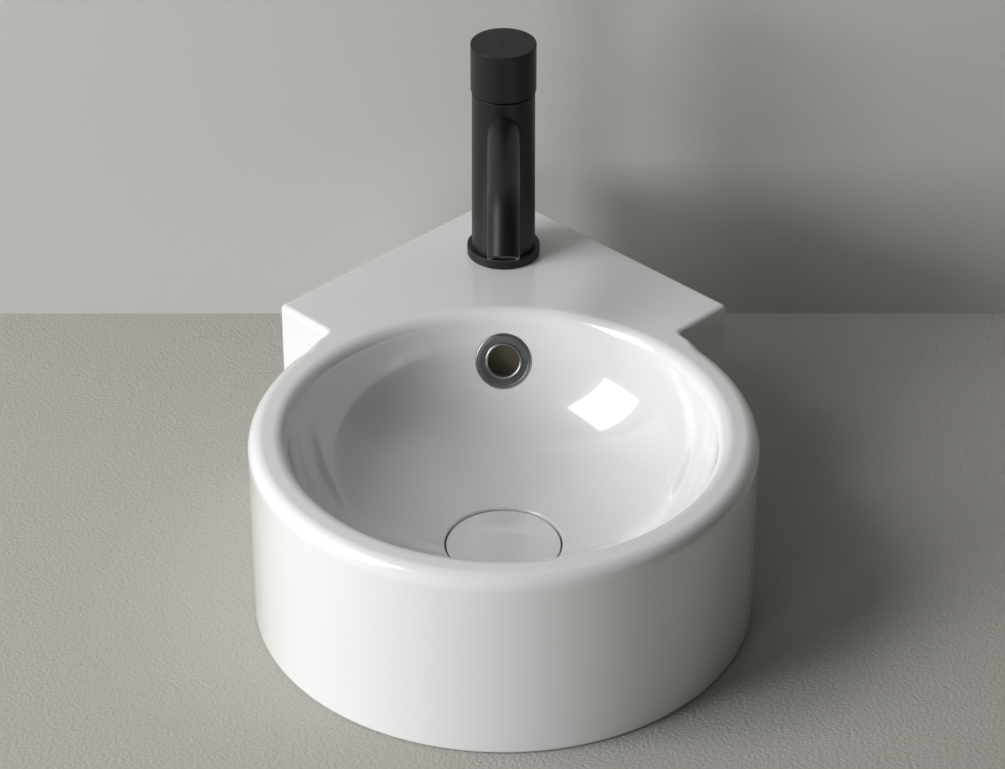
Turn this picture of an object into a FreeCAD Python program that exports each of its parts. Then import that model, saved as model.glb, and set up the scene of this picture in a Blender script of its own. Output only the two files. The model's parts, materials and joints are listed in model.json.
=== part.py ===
import FreeCAD, Part
import os
import re
import math
import Sketcher

# Corner basin of glazed ceramic: a round bowl joined to a square block that fits into the corner of a
# room, with a pillar tap on the deck behind the bowl, an overflow ring in the bowl's back and a
# push-open waste in its floor. Millimetres, +Z up, +Y towards the corner, X along the standing surface.
# The origin lies on the standing surface, under the middle of the whole object's box.

SIZES = {
    # --- ceramic body: plan and outside ---
    "bowl_radius": 150.0,            # outside of the round bowl
    "basin_height": 123.0,           # standing surface to rim and deck
    "tap_gap": 50.0,                 # bowl's outside to the tap's axis, behind it
    "tap_from_corner": 75.77,        # tap's axis to the corner of the room
    "front_offset": 2.0,             # block's front faces, ahead of the bowl axis
    "corner_round": 4.0,             # upright corners of the block
    "edge_round": 4.0,               # top edges of the block
    "junction_round": 4.0,           # upright hollow corner between block and bowl
    "rim_round": 9.0,                # outer rounding of the bowl's rim
    "rim_seam": 0.5,                 # how far that rounding starts before the deck closes over it
    "lip_round": 9.0,                # inner rounding of the bowl's rim
    "foot_round": 2.5,               # bottom outer edge of the skirt
    # --- ceramic body: walls and hollow ---
    "skirt_wall": 9.0,
    "block_wall": 9.0,
    "deck_thickness": 12.0,
    "rim_depth": 19.0,               # solid ceramic under the rim
    "rim_width": 15.0,               # outside of the bowl to the crest of its lip
    "bowl_bottom": 36.5,             # lowest point of the bowl's curve, above the standing surface
    "side_lift": 2.0,                # rim to the centre of the side's tighter curve, above it
    "side_margin": 14.5,             # how much tighter that curve is than the bowl's depth under its centre
    "shell_thickness": 9.0,
    "recess_depth": 9.0,             # bowl's bottom to the seat of the waste
    "recess_round": 1.5,
    "waste_hole_gap": 3.7,           # between the waste's tube and its hole
    "boss_wall": 7.5,                # ceramic round the recess, above the seat of the waste
    "boss_thickness": 12.5,          # ceramic under that seat
    # --- overflow duct behind the bowl ---
    "duct_depth": 7.5,
    "duct_width": 24.0,
    "casing_thickness": 5.0,
    "duct_drop": 9.0,                # seat of the waste to the duct's floor at the waste hole
    "duct_mouth": 5.5,
    "duct_knee_inset": 4.9,          # where the duct's floor starts to rise, inside the boss
    "duct_turn_outset": 23.1,        # where it joins the curve of the bowl, outside the boss
    "overflow_drop": 30.6,           # rim to the middle of the overflow
    "overflow_hole": 12.0,
    # --- holes in the ceramic ---
    "tap_hole": 17.5,
    "fixing_hole": 6.0,
    "fixing_drop": 33.0,             # rim to the wall fixings
    "fixing_from_corner": 110.0,
    # --- overflow ring ---
    "ring_radius": 17.2,
    "ring_bore": 10.0,
    "ring_rise": 2.0,
    "ring_collar": 8.0,
    "ring_fit": 0.15,
    "seat_margin": 0.3,
    "seat_clearance": 6.0,
    # --- waste: fixed pieces ---
    "upper_seal_thickness": 1.0,
    "upper_seal_gap": 2.5,           # waste hole to the seal round it
    "flange_inset": 1.4,             # flange's edge inside the cap's edge
    "flange_thickness": 2.0,
    "tube_radius": 18.8,
    "tube_wall": 2.2,
    "tube_foot": 2.0,                # how far the tube stays above the end of the tail
    "slot_width": 12.0,
    "slot_count": 4,
    "spider_drop": 5.5,              # duct's floor to the spider's underside
    "spider_thickness": 4.0,
    "spider_hub": 9.5,
    "spider_arm": 3.0,
    "spider_arms": 3,
    "lower_seal_thickness": 3.0,
    "lower_seal_inset": 0.5,
    "tail_flange_width": 9.05,
    "tail_flange_thickness": 3.5,
    "tail_wall": 2.15,               # up to 20.95, the outside of a G 1 1/4 thread
    "tail_bottom": 1.0,
    "thread_fit": 0.05,
    # --- waste: push-open plug ---
    "cap_radius": 34.4,
    "cap_gap": 1.0,                  # between the cap and the ceramic round it
    "cap_thickness": 4.2,
    "cap_crown": 1.2,
    "cap_round": 1.2,
    "plate_inset": 8.4,
    "plate_thickness": 2.0,
    "press_travel": 2.0,             # downwards, to release the latch
    "lift_travel": 7.5,              # upwards, to the open stop
    "press_clearance": 0.5,
    "plug_skirt_gap": 2.0,           # plug's skirt to the tube, bridged by the seal
    "plug_skirt_wall": 5.6,
    "plug_skirt_length": 7.5,
    "plug_seal_height": 2.5,
    "plug_seal_depth": 2.0,
    "plug_seal_lift": 1.0,
    "running_clearance": 0.1,
    "sleeve_radius": 6.5,
    "sleeve_wall": 1.1,
    "sleeve_bottom": 5.5,
    "sleeve_floor": 2.0,
    "sleeve_roof": 1.6,
    "sleeve_shoulder": 8.4,
    "sleeve_shoulder_thickness": 2.0,
    "rod_radius": 3.0,
    "rod_tail_radius": 2.4,
    "rod_tail_clearance": 1.0,       # left above the sleeve's floor when pressed
    "rod_collar_thickness": 2.0,
    "rod_collar_margin": 0.4,
    "spring_wire": 0.45,
    "spring_radius": 4.3,
    "spring_turns": 5.0,
    # --- tap: pillar ---
    "base_overhang": 2.95,
    "base_height": 6.4,
    "base_gap": 0.3,
    "base_chamfer": 0.5,
    "gasket_gap": 1.0,               # tap hole to the gasket round it
    "gasket_inset": 1.5,
    "gasket_height": 1.8,
    "pillar_foot_radius": 20.05,
    "pillar_narrowing": 0.45,
    "pillar_height": 115.8,
    "spigot_gap": 0.6,               # between the spigot and the tap hole
    "spigot_depth": 5.0,
    "neck_rise": 11.2,
    "channel_radius": 3.0,
    "inlet_side_margin": 6.0,        # cartridge's edge to the inlets' axes, sideways
    "inlet_back_margin": 8.5,        # the same, backwards
    "inlet_port": 4.5,
    "inlet_port_depth": 12.0,
    "outlet_margin": 5.5,            # cartridge's edge to the outlet's axis
    "outlet_depth": 9.0,
    # --- tap: cartridge ---
    "neck_wall": 3.9,                # brass round the cartridge
    "cartridge_drop": 6.8,           # pillar's top to the cartridge's seat
    "cartridge_fit": 0.1,
    "cartridge_seal": 1.0,
    "cartridge_base": 2.0,
    "cartridge_shoulder": 1.3,       # housing's shoulder, above the neck
    "cartridge_collar": 9.0,
    "cartridge_collar_rise": 5.7,
    "cartridge_wall": 1.8,
    "cartridge_roof": 3.3,
    "disc_thickness": 3.0,
    "disc_margin": 0.1,
    "disc_port": 2.2,
    "mixing_margin": 4.1,            # disc's edge to the pocket's radius
    "mixing_pocket_front": 3.0,
    "mixing_pocket_depth": 1.5,
    "drive_plate_margin": 0.7,
    "drive_clearance": 0.2,
    "stem_radius": 4.5,
    "stem_drive_radius": 3.8,
    "stem_drive_flat": 3.1,
    "stem_end_clearance": 2.0,
    "nut_clearance": 0.6,            # between the cap nut and the knob round it
    "nut_wall": 1.0,
    "nut_gap": 1.2,                  # pillar's top to the cap nut
    "nut_lip": 2.0,
    # --- tap: knob ---
    "knob_overhang": 0.75,
    "knob_gap": 1.1,
    "knob_height": 31.5,
    "knob_wall": 1.75,
    "knob_roof": 3.4,
    "knob_edge": 0.4,
    "knob_hub": 12.0,
    "knob_hub_inset": 0.5,
    "index_width": 0.9,
    "index_depth": 0.3,
    "adapter_radius": 6.5,
    "adapter_clearance": 0.7,
    "adapter_fit": 0.05,
    "grub_radius": 2.0,
    "grub_socket": 1.0,
    "grub_socket_depth": 2.2,
    # --- tap: spout ---
    "spout_radius": 9.8,
    "spout_bore_wall": 1.5,          # spigot's wall
    "spout_drop": 14.8,              # pillar's top to the spout's axis at the tap's axis
    "spout_root_slope": 12.0,        # degrees below the horizontal
    "spout_run": 72.9,
    "spout_bend": 38.0,
    "spout_tip_slope": 50.0,
    "spout_end": 19.9,
    "spout_fit": 0.05,
    "spout_step": 3.3,               # tube's outside to the spigot's
    "spout_inset": 8.0,
    "spout_spigot_length": 18.0,
    "spout_seal_thickness": 1.2,
    "outlet_wall": 1.8,              # tube's wall round the aerator
    "aerator_depth": 8.0,
    "aerator_recess": 0.8,
    "aerator_wall": 1.2,
    "aerator_washer": 1.5,
    "aerator_fit": 0.05,
    "jet_radius": 0.7,
    "jet_circle": 4.4,
    "jet_count": 8,
    # --- tap: fixing under the deck ---
    "stud_radius": 4.0,
    "stud_front": 9.5,
    "stud_in_body": 12.0,
    "stud_below_deck": 38.0,
    "horseshoe_radius": 24.0,
    "hose_clearance": 2.0,           # slot's side to the inlets
    "horseshoe_slot_start": 2.5,
    "horseshoe_hole": 4.3,
    "rubber_thickness": 2.0,
    "plate_washer_thickness": 2.5,
    "nut_across_flats": 13.0,
    "nut_height": 10.0,
}

# Places and sizes that follow from the ones above, as formulas. Heights called *_z are above the
# standing surface for the waste, and above the deck for the tap.
DERIVED = {
    "root2": "sqrt(2)",
    "tap_distance": "bowl_radius + tap_gap",
    "apex": "tap_distance + tap_from_corner",
    "wall_distance": "apex/root2",
    "apex_rounded": "apex - corner_round*(root2 - 1)",
    "bowl_y": "(bowl_radius - apex_rounded)/2",
    "tap_y": "bowl_y + tap_distance",
    # the sphere's radius, so that the lip's arc touches both the sphere and the deck
    "side_height": "basin_height + side_lift",
    "side_rise": "side_height - bowl_bottom",
    "side_curve": "side_rise - side_margin",
    "side_reach": "lip_reach - sqrt((side_curve + lip_round)^2 - (side_height - lip_height)^2)",
    "bowl_curve": "(side_reach^2 + side_rise^2 - side_curve^2)/(2*side_margin)",
    "curve_centre": "bowl_bottom + bowl_curve",
    "shell_curve": "bowl_curve + shell_thickness",
    "duct_curve": "shell_curve + duct_depth",
    "casing_curve": "duct_curve + casing_thickness",
    "cavity_top": "basin_height - rim_depth",
    "lip_height": "basin_height - lip_round",
    "lip_reach": "bowl_radius - rim_width",
    "lip_share": "side_curve/(side_curve + lip_round)",
    "recess_floor": "bowl_bottom - recess_depth",
    "recess_radius": "cap_radius + cap_gap",
    "waste_hole": "tube_radius + waste_hole_gap",
    "boss_bottom": "recess_floor - boss_thickness",
    "boss_radius": "recess_radius + boss_wall",
    "duct_floor": "recess_floor - duct_drop",
    "duct_knee": "boss_radius - duct_knee_inset",
    "duct_turn": "boss_radius + duct_turn_outset",
    "fixing_height": "basin_height - fixing_drop",
    "overflow_z": "basin_height - overflow_drop",
    "overflow_tilt": "asin((side_height - overflow_z)/side_curve)/1deg",
    # waste
    "flange_z": "recess_floor + upper_seal_thickness",
    "flange_top_z": "flange_z + flange_thickness",
    "flange_radius": "cap_radius - flange_inset",
    "tube_bore": "tube_radius - tube_wall",
    "tube_bottom": "tail_bottom + tube_foot",
    "spider_bottom": "duct_floor - spider_drop",
    "tail_thread": "tube_radius + tail_wall",
    "tail_flange_radius": "tail_thread + tail_flange_width",
    "lower_seal_radius": "tail_flange_radius - lower_seal_inset",
    "tail_top_z": "boss_bottom - lower_seal_thickness",
    "tail_flange_z": "tail_top_z - tail_flange_thickness",
    "plate_z": "flange_top_z + press_travel + press_clearance",
    "cap_z": "plate_z + plate_thickness",
    "cap_edge_z": "cap_z + cap_thickness",
    "plate_radius": "cap_radius - plate_inset",
    "plug_skirt_radius": "tube_bore - plug_skirt_gap",
    "plug_skirt_z": "plate_z - plug_skirt_length",
    "plug_seal_z": "plug_skirt_z + plug_seal_lift",
    "sleeve_top_z": "flange_top_z",
    "sleeve_seat_z": "spider_bottom + spider_thickness",
    "sleeve_bore": "sleeve_radius - sleeve_wall",
    "spring_z": "sleeve_bottom + sleeve_floor",
    "rod_collar_top_z": "sleeve_top_z - sleeve_roof - lift_travel - rod_collar_margin",
    "rod_collar_z": "rod_collar_top_z - rod_collar_thickness",
    "rod_tail_z": "spring_z + press_travel + rod_tail_clearance",
    # tap: radii
    "pillar_top_radius": "pillar_foot_radius - pillar_narrowing",
    "base_radius": "pillar_foot_radius + base_overhang",
    "spigot_radius": "tap_hole - spigot_gap",
    "gasket_inner": "tap_hole + gasket_gap",
    "gasket_outer": "base_radius - gasket_inset",
    "knob_radius": "pillar_top_radius + knob_overhang",
    "knob_bore": "knob_radius - knob_wall",
    "nut_radius": "knob_bore - nut_clearance",
    "neck_radius": "nut_radius - nut_wall",
    "cartridge_radius": "neck_radius - neck_wall - cartridge_fit",
    "inlet_side": "cartridge_radius - inlet_side_margin",
    "inlet_back": "cartridge_radius - inlet_back_margin",
    "outlet_front": "cartridge_radius - outlet_margin",
    "horseshoe_slot": "inlet_side + inlet_port + hose_clearance",
    "disc_radius": "housing_cavity - disc_margin",
    "mixing_pocket": "disc_radius - mixing_margin",
    "drive_plate_radius": "disc_radius - drive_plate_margin",
    "spout_spigot": "spout_radius - spout_step",
    "spout_bore": "spout_spigot - spout_bore_wall",
    "aerator_radius": "spout_radius - outlet_wall",
    # tap: heights
    "pillar_taper": "(pillar_top_radius - pillar_foot_radius)/(pillar_height - base_height)",
    "neck_top": "pillar_height + neck_rise",
    "cartridge_seat": "pillar_height - cartridge_drop",
    "cartridge_base_z": "cartridge_seat + cartridge_seal",
    "housing_z": "cartridge_base_z + cartridge_base",
    "housing_shoulder_z": "neck_top + cartridge_shoulder",
    "housing_top_z": "housing_shoulder_z + cartridge_collar_rise",
    "housing_cavity": "cartridge_radius - cartridge_wall",
    "housing_roof_z": "housing_shoulder_z - cartridge_roof",
    "moving_disc_z": "housing_z + disc_thickness",
    "drive_plate_z": "moving_disc_z + disc_thickness",
    "stem_shaft_z": "housing_roof_z - drive_clearance",
    "stem_drive_z": "housing_top_z + running_clearance*3",
    "stem_top_z": "knob_ceiling_z - stem_end_clearance",
    "knob_z": "pillar_height + knob_gap",
    "knob_top": "knob_z + knob_height",
    "knob_ceiling_z": "knob_top - knob_roof",
    "adapter_z": "stem_drive_z + adapter_clearance",
    "hub_z": "adapter_z + knob_hub_inset",
    "grub_z": "(hub_z + knob_ceiling_z)/2",
    "spout_root_height": "pillar_height - spout_drop",
    "socket_start": "spout_inset - spout_seal_thickness",
    # spout's centre line, in the upright plane through the tap's axis
    "bend_start_y": "-spout_run*cos(spout_root_slope)",
    "bend_start_z": "spout_root_height - spout_run*sin(spout_root_slope)",
    "bend_centre_y": "bend_start_y + spout_bend*sin(spout_root_slope)",
    "bend_centre_z": "bend_start_z - spout_bend*cos(spout_root_slope)",
    "bend_end_y": "bend_centre_y - spout_bend*sin(spout_tip_slope)",
    "bend_end_z": "bend_centre_z + spout_bend*cos(spout_tip_slope)",
    "tip_y": "bend_end_y - spout_end*cos(spout_tip_slope)",
    "tip_z": "bend_end_z - spout_end*sin(spout_tip_slope)",
}

X_AXIS = FreeCAD.Vector(1, 0, 0)
Y_AXIS = FreeCAD.Vector(0, 1, 0)
Z_AXIS = FreeCAD.Vector(0, 0, 1)
# The sketcher's own numbering: places on an element, and a sketch's axes as elements.
START, END, CENTRE = range(1, 4)
ON_HORIZONTAL_AXIS, ON_VERTICAL_AXIS = range(-1, -3, -1)
ORIGIN = (ON_HORIZONTAL_AXIS, START)

doc = FreeCAD.newDocument("corner_basin")
sheet = doc.addObject("Spreadsheet::Sheet", "sizes")
for row, (size_name, size) in enumerate(SIZES.items(), 1):
    sheet.set("A%d" % row, size_name)
    sheet.set("B%d" % row, str(size))
    sheet.setAlias("B%d" % row, size_name)
doc.recompute()
sub_parts = []


# ---------------------------------------------------------------- formulas

def formula(text):
    """The text with every named size replaced by its cell, and every derived name by its formula."""
    def swap(match):
        word = match.group()
        if word in DERIVED:
            return "(" + formula(DERIVED[word]) + ")"
        return "sizes." + word if word in SIZES else word
    return re.sub(r"[a-z][a-z_0-9]*", swap, str(text))


def value(text):
    """The number that a formula gives now."""
    return float(sheet.evalExpression(formula(text)))


def height_on(curve, reach):
    """Height of a sphere round the bowl's curve centre, at a distance from the bowl's axis."""
    return "(curve_centre - sqrt((%s)^2 - (%s)^2))" % (curve, reach)


def side_on(outset, height):
    """Distance from the bowl's axis of its side curve, moved outwards, at a height."""
    return "(side_reach + sqrt((side_curve + %s)^2 - (side_height - (%s))^2))" % (outset, height)


def knee(outset):
    """Where the sphere and the side curve meet, both moved outwards."""
    share = "(bowl_curve + %s)/(bowl_curve - side_curve)" % outset
    return "side_reach*" + share, "curve_centre - (curve_centre - side_height)*" + share


def pillar_radius(height):
    """Radius of the tapered pillar at a height above the deck."""
    return "(pillar_foot_radius + pillar_taper*((%s) - base_height))" % height


# ---------------------------------------------------------------- bodies, sketches and features

def new_body(label, y="0", z="0", tilt=None):
    """A body whose axis stands at y, z; tilt turns it about X, in degrees."""
    body = doc.addObject("PartDesign::Body", label)
    body.Label = label
    if tilt is not None:
        body.Placement.Rotation = FreeCAD.Rotation(X_AXIS, 1)
        body.setExpression("Placement.Rotation.Angle", formula(tilt))
    body.setExpression("Placement.Base.y", formula(y))
    body.setExpression("Placement.Base.z", formula(z))
    sub_parts.append(body)
    return body


def new_sketch(body, name, plane="XZ_Plane", offset=None, tilt=None, tilt_axis=X_AXIS):
    """A sketch on one of the body's own planes, moved and tilted by formulas."""
    sketch = body.newObject("Sketcher::SketchObject", "%s_%s" % (body.Label, name))
    support = [feature for feature in body.Origin.OriginFeatures if feature.Role == plane][0]
    sketch.AttachmentSupport = [(support, "")]
    sketch.MapMode = "FlatFace"
    if tilt is not None:
        sketch.AttachmentOffset = FreeCAD.Placement(FreeCAD.Vector(), FreeCAD.Rotation(tilt_axis, 1))
        sketch.setExpression("AttachmentOffset.Rotation.Angle", formula(tilt))
    for direction, text in zip("xyz", offset or ()):
        sketch.setExpression("AttachmentOffset.Base.%s" % direction, formula(text))
    return sketch


def fix_point(sketch, element, end, x, y):
    """Tie a point of the sketch to the formulas of its two coordinates."""
    for kind, axis, text in (("DistanceX", ON_VERTICAL_AXIS, x), ("DistanceY", ON_HORIZONTAL_AXIS, y)):
        if text == "0":
            sketch.addConstraint(Sketcher.Constraint("PointOnObject", element, end, axis))
        else:
            constraint = Sketcher.Constraint(kind, *ORIGIN, element, end, value(text))
            index = sketch.addConstraint(constraint)
            sketch.setExpression("Constraints[%d]" % index, formula(text))


def fix_radius(sketch, element, radius):
    index = sketch.addConstraint(Sketcher.Constraint("Radius", element, value(radius)))
    sketch.setExpression("Constraints[%d]" % index, formula(radius))


def add_arc(sketch, start, end, centre, radius, turn):
    """An arc from start to end; turn is +1 anticlockwise and -1 clockwise."""
    first, last = (start, end) if turn > 0 else (end, start)
    angle_from = math.atan2(first.y - centre.y, first.x - centre.x)
    angle_to = math.atan2(last.y - centre.y, last.x - centre.x)
    if angle_to <= angle_from:
        angle_to += 2 * math.pi
    circle = Part.Circle(centre, Z_AXIS, radius)
    return sketch.addGeometry(Part.ArcOfCircle(circle, angle_from, angle_to), False)


def outline(sketch, points, arcs=None, closed=True):
    """Lines through points given as pairs of formulas. arcs names, by the number of its first
    point, each stretch that is an arc: (radius, centre x, centre y, turn)."""
    arcs = arcs or {}
    places = [FreeCAD.Vector(value(x), value(y), 0) for x, y in points]
    stretches = []
    for number in range(len(points) if closed else len(points) - 1):
        start = places[number]
        end = places[(number + 1) % len(points)]
        if number in arcs:
            radius, centre_x, centre_y, turn = arcs[number]
            centre = FreeCAD.Vector(value(centre_x), value(centre_y), 0)
            element = add_arc(sketch, start, end, centre, value(radius), turn)
            stretches.append((element, START, END) if turn > 0 else (element, END, START))
        else:
            stretches.append((sketch.addGeometry(Part.LineSegment(start, end), False), START, END))
    for number, (element, start_end, _) in enumerate(stretches):
        if number or closed:
            before, _, before_end = stretches[number - 1]
            sketch.addConstraint(Sketcher.Constraint("Coincident", before, before_end, element, start_end))
        fix_point(sketch, element, start_end, *points[number])
    if not closed:
        fix_point(sketch, stretches[-1][0], stretches[-1][2], *points[-1])
    for number, (radius, _, _, _) in arcs.items():
        fix_radius(sketch, stretches[number][0], radius)
    return sketch


def circle(sketch, radius, x="0", y="0"):
    """A full circle at x, y."""
    centre = FreeCAD.Vector(value(x), value(y), 0)
    element = sketch.addGeometry(Part.Circle(centre, Z_AXIS, value(radius)), False)
    fix_point(sketch, element, CENTRE, x, y)
    fix_radius(sketch, element, radius)
    return sketch


def rectangle(sketch, x_from, x_to, y_from, y_to):
    """An upright rectangle between four formulas."""
    return outline(sketch, [(x_from, y_from), (x_to, y_from), (x_to, y_to), (x_from, y_to)])


def add_feature(body, kind, name, profile=None):
    feature = body.newObject("PartDesign::" + kind, "%s_%s" % (body.Label, name))
    if profile is not None:
        feature.Profile = profile
    return feature


def settled(body, feature):
    """Recompute, and make sure that the feature did what it should."""
    before = feature.BaseFeature.Shape.Volume if feature.BaseFeature else 0.0
    doc.recompute()
    if "Invalid" in feature.State or "Error" in feature.State or feature.Shape.isNull():
        raise RuntimeError("%s failed" % feature.Name)
    cuts = feature.TypeId.split("::")[1] in ("Pocket", "Groove", "SubtractivePipe", "Chamfer")
    if cuts and feature.Shape.Volume > before - 1e-3:
        raise RuntimeError("%s cuts nothing" % feature.Name)
    return feature


def turned(body, sketch, name="turned", cut=False, axis="V_Axis"):
    """A full turn of the sketch about one of its own axes, added or cut."""
    feature = add_feature(body, "Groove" if cut else "Revolution", name, sketch)
    feature.ReferenceAxis = (sketch, [axis])
    feature.Angle = 360
    return settled(body, feature)


def padded(body, sketch, name, length, both_ways=False, back=False):
    feature = add_feature(body, "Pad", name, sketch)
    feature.Midplane = both_ways
    feature.Reversed = back
    feature.setExpression("Length", formula(length))
    return settled(body, feature)


def pocketed(body, sketch, name, length=None, both_ways=False, forward=False):
    """A pocket against the sketch's normal, or along it where forward; through all without a length."""
    feature = add_feature(body, "Pocket", name, sketch)
    feature.Midplane = both_ways
    feature.Reversed = forward
    if length is None:
        feature.Type = "ThroughAll"
    else:
        feature.setExpression("Length", formula(length))
    return settled(body, feature)


def edge_names(shape, wanted):
    return ["Edge%d" % number for number, edge in enumerate(shape.Edges, 1) if wanted(edge)]


def filleted(body, name, wanted, radius):
    base = body.Tip
    feature = add_feature(body, "Fillet", name)
    feature.Base = (base, edge_names(base.Shape, wanted))
    feature.setExpression("Radius", formula(radius))
    return settled(body, feature)


def polar_copies(body, feature, name, count):
    """The feature repeated round the body's Z axis."""
    pattern = add_feature(body, "PolarPattern", name)
    pattern.Originals = [feature]
    pattern.Axis = ([axis for axis in body.Origin.OriginFeatures if axis.Role == "Z_Axis"][0], [""])
    pattern.Angle = 360
    pattern.setExpression("Occurrences", formula(count))
    body.Tip = pattern
    return settled(body, pattern)


def ring_piece(label, y, inner, outer, bottom, top, tilt=None, z="0"):
    """A plain turned ring, or a disc where inner is 0."""
    body = new_body(label, y, z, tilt)
    turned(body, rectangle(new_sketch(body, "section"), inner, outer, bottom, top))
    return body


def upright(edge):
    ends = [vertex.Point for vertex in edge.Vertexes]
    return len(ends) == 2 and math.hypot(ends[0].x - ends[1].x, ends[0].y - ends[1].y) < 1e-6


def from_axis(edge):
    point = edge.Vertexes[0].Point
    return math.hypot(point.x, point.y)


def on_front(edge):
    """Whether an upright edge lies in one of the block's two front faces."""
    point = edge.Vertexes[0].Point
    return abs(abs(point.x) - point.y - value("front_offset*root2")) < 1e-4


# ---------------------------------------------------------------- ceramic

def block(body):
    """The square block: solid with rounded edges, hollowed from below, cleared inside the bowl."""
    side = "(wall_distance + front_offset)/root2"
    shoulder = "(wall_distance - front_offset)/root2"
    plan = new_sketch(body, "block_plan", "XY_Plane")
    outline(plan, [("0", "-front_offset*root2"), (side, shoulder), ("0", "apex"), ("-" + side, shoulder)])
    padded(body, plan, "block", "basin_height")
    front_corner = value("front_offset*root2") + 1.0
    filleted(body, "corners", lambda edge: upright(edge) and from_axis(edge) > front_corner, "corner_round")
    top = value("basin_height")
    filleted(body, "top_edges", lambda edge: min(v.Point.z for v in edge.Vertexes) > top - 1e-6, "edge_round")

    inner_side = "(wall_distance + front_offset - 2*block_wall)/root2"
    hollow = new_sketch(body, "block_hollow_plan", "XY_Plane")
    outline(hollow, [("0", "(block_wall - front_offset)*root2"), (inner_side, shoulder),
                     ("0", "(wall_distance - block_wall)*root2"), ("-" + inner_side, shoulder)])
    pocketed(body, hollow, "block_hollow", "basin_height - deck_thickness", forward=True)
    clearing = circle(new_sketch(body, "clearing_plan", "XY_Plane"), "bowl_radius - rim_round + rim_seam")
    pocketed(body, clearing, "clearing", forward=True)


def bowl(body):
    """Skirt, rim, shell and waste boss, as one turned section. The shell is a sphere with a tighter side."""
    recess_edge = height_on("bowl_curve", "recess_radius")
    points = [
        ("bowl_radius - skirt_wall", "0"),
        ("bowl_radius - foot_round", "0"),
        ("bowl_radius", "foot_round"),
        ("bowl_radius", "basin_height - rim_round"),
        ("bowl_radius - rim_round", "basin_height"),
        ("lip_reach", "basin_height"),
        ("side_reach + (lip_reach - side_reach)*lip_share", "side_height - (side_height - lip_height)*lip_share"),
        knee("0"),
        ("recess_radius", recess_edge),
        ("recess_radius", "recess_floor"),
        ("waste_hole", "recess_floor"),
        ("waste_hole", "boss_bottom"),
        ("boss_radius", "boss_bottom"),
        ("boss_radius", height_on("shell_curve", "boss_radius")),
        knee("shell_thickness"),
        (side_on("shell_thickness", "cavity_top"), "cavity_top"),
        ("bowl_radius - skirt_wall", "cavity_top"),
    ]
    arcs = {
        1: ("foot_round", "bowl_radius - foot_round", "foot_round", 1),
        3: ("rim_round", "bowl_radius - rim_round", "basin_height - rim_round", 1),
        5: ("lip_round", "lip_reach", "lip_height", 1),
        6: ("side_curve", "side_reach", "side_height", -1),
        7: ("bowl_curve", "0", "curve_centre", -1),
        13: ("shell_curve", "0", "curve_centre", 1),
        14: ("side_curve + shell_thickness", "side_reach", "side_height", 1),
    }
    turned(body, outline(new_sketch(body, "bowl_section"), points, arcs), "bowl")
    edge_height = value(recess_edge)
    filleted(body, "recess_edge",
             lambda edge: abs(edge.BoundBox.ZMax - edge_height) < 1e-4 and edge.BoundBox.ZLength < 1e-4,
             "recess_round")
    radius = value("bowl_radius")
    filleted(body, "junctions",
             lambda edge: upright(edge) and on_front(edge) and abs(from_axis(edge) - radius) < 1e-4,
             "junction_round")


def overflow_duct(body):
    """A casing behind the bowl and the passage in it, from the overflow down to the waste hole."""
    casing_start = "lower_seal_radius + 3"
    casing_floor = "duct_floor - casing_thickness"
    casing_top = "boss_radius - 3"
    outside, inside = "casing_curve - bowl_curve", "shell_thickness - 3"
    casing = [
        (casing_start, casing_floor),
        ("duct_knee + casing_thickness", casing_floor),
        ("duct_turn", height_on("casing_curve", "duct_turn")),
        knee(outside),
        (side_on(outside, "cavity_top - 2"), "cavity_top - 2"),
        (side_on(outside, "cavity_top - 2"), "cavity_top + 2"),
        (side_on(inside, "cavity_top + 2"), "cavity_top + 2"),
        knee(inside),
        (casing_top, height_on("shell_curve - 3", casing_top)),
        (casing_start, "boss_bottom + 2"),
    ]
    arcs = {
        2: ("casing_curve", "0", "curve_centre", 1),
        3: ("side_curve + " + outside, "side_reach", "side_height", 1),
        6: ("side_curve + " + inside, "side_reach", "side_height", -1),
        7: ("shell_curve - 3", "0", "curve_centre", -1),
    }
    section = outline(new_sketch(body, "casing_section", "YZ_Plane"), casing, arcs)
    padded(body, section, "casing", "duct_width + 2*casing_thickness", both_ways=True)

    mouth = "waste_hole - 4"
    outside, inside = "duct_curve - bowl_curve", "shell_thickness"
    passage = [
        (mouth, "duct_floor"),
        ("duct_knee - 2", "duct_floor"),
        ("duct_turn", height_on("duct_curve", "duct_turn")),
        knee(outside),
        (side_on(outside, "cavity_top - 1"), "cavity_top - 1"),
        (side_on(inside, "cavity_top - 1"), "cavity_top - 1"),
        knee(inside),
        ("duct_turn", height_on("shell_curve", "duct_turn")),
        ("duct_knee + 4", "duct_floor + duct_mouth"),
        (mouth, "duct_floor + duct_mouth"),
    ]
    arcs = {
        2: ("duct_curve", "0", "curve_centre", 1),
        3: ("side_curve + " + outside, "side_reach", "side_height", 1),
        5: ("side_curve + " + inside, "side_reach", "side_height", -1),
        6: ("shell_curve", "0", "curve_centre", -1),
    }
    section = outline(new_sketch(body, "passage_section", "YZ_Plane"), passage, arcs)
    pocketed(body, section, "passage", "duct_width", both_ways=True)


OVERFLOW_Y = side_on("0", "overflow_z")
OVERFLOW_TURN = "90 - overflow_tilt"


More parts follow.
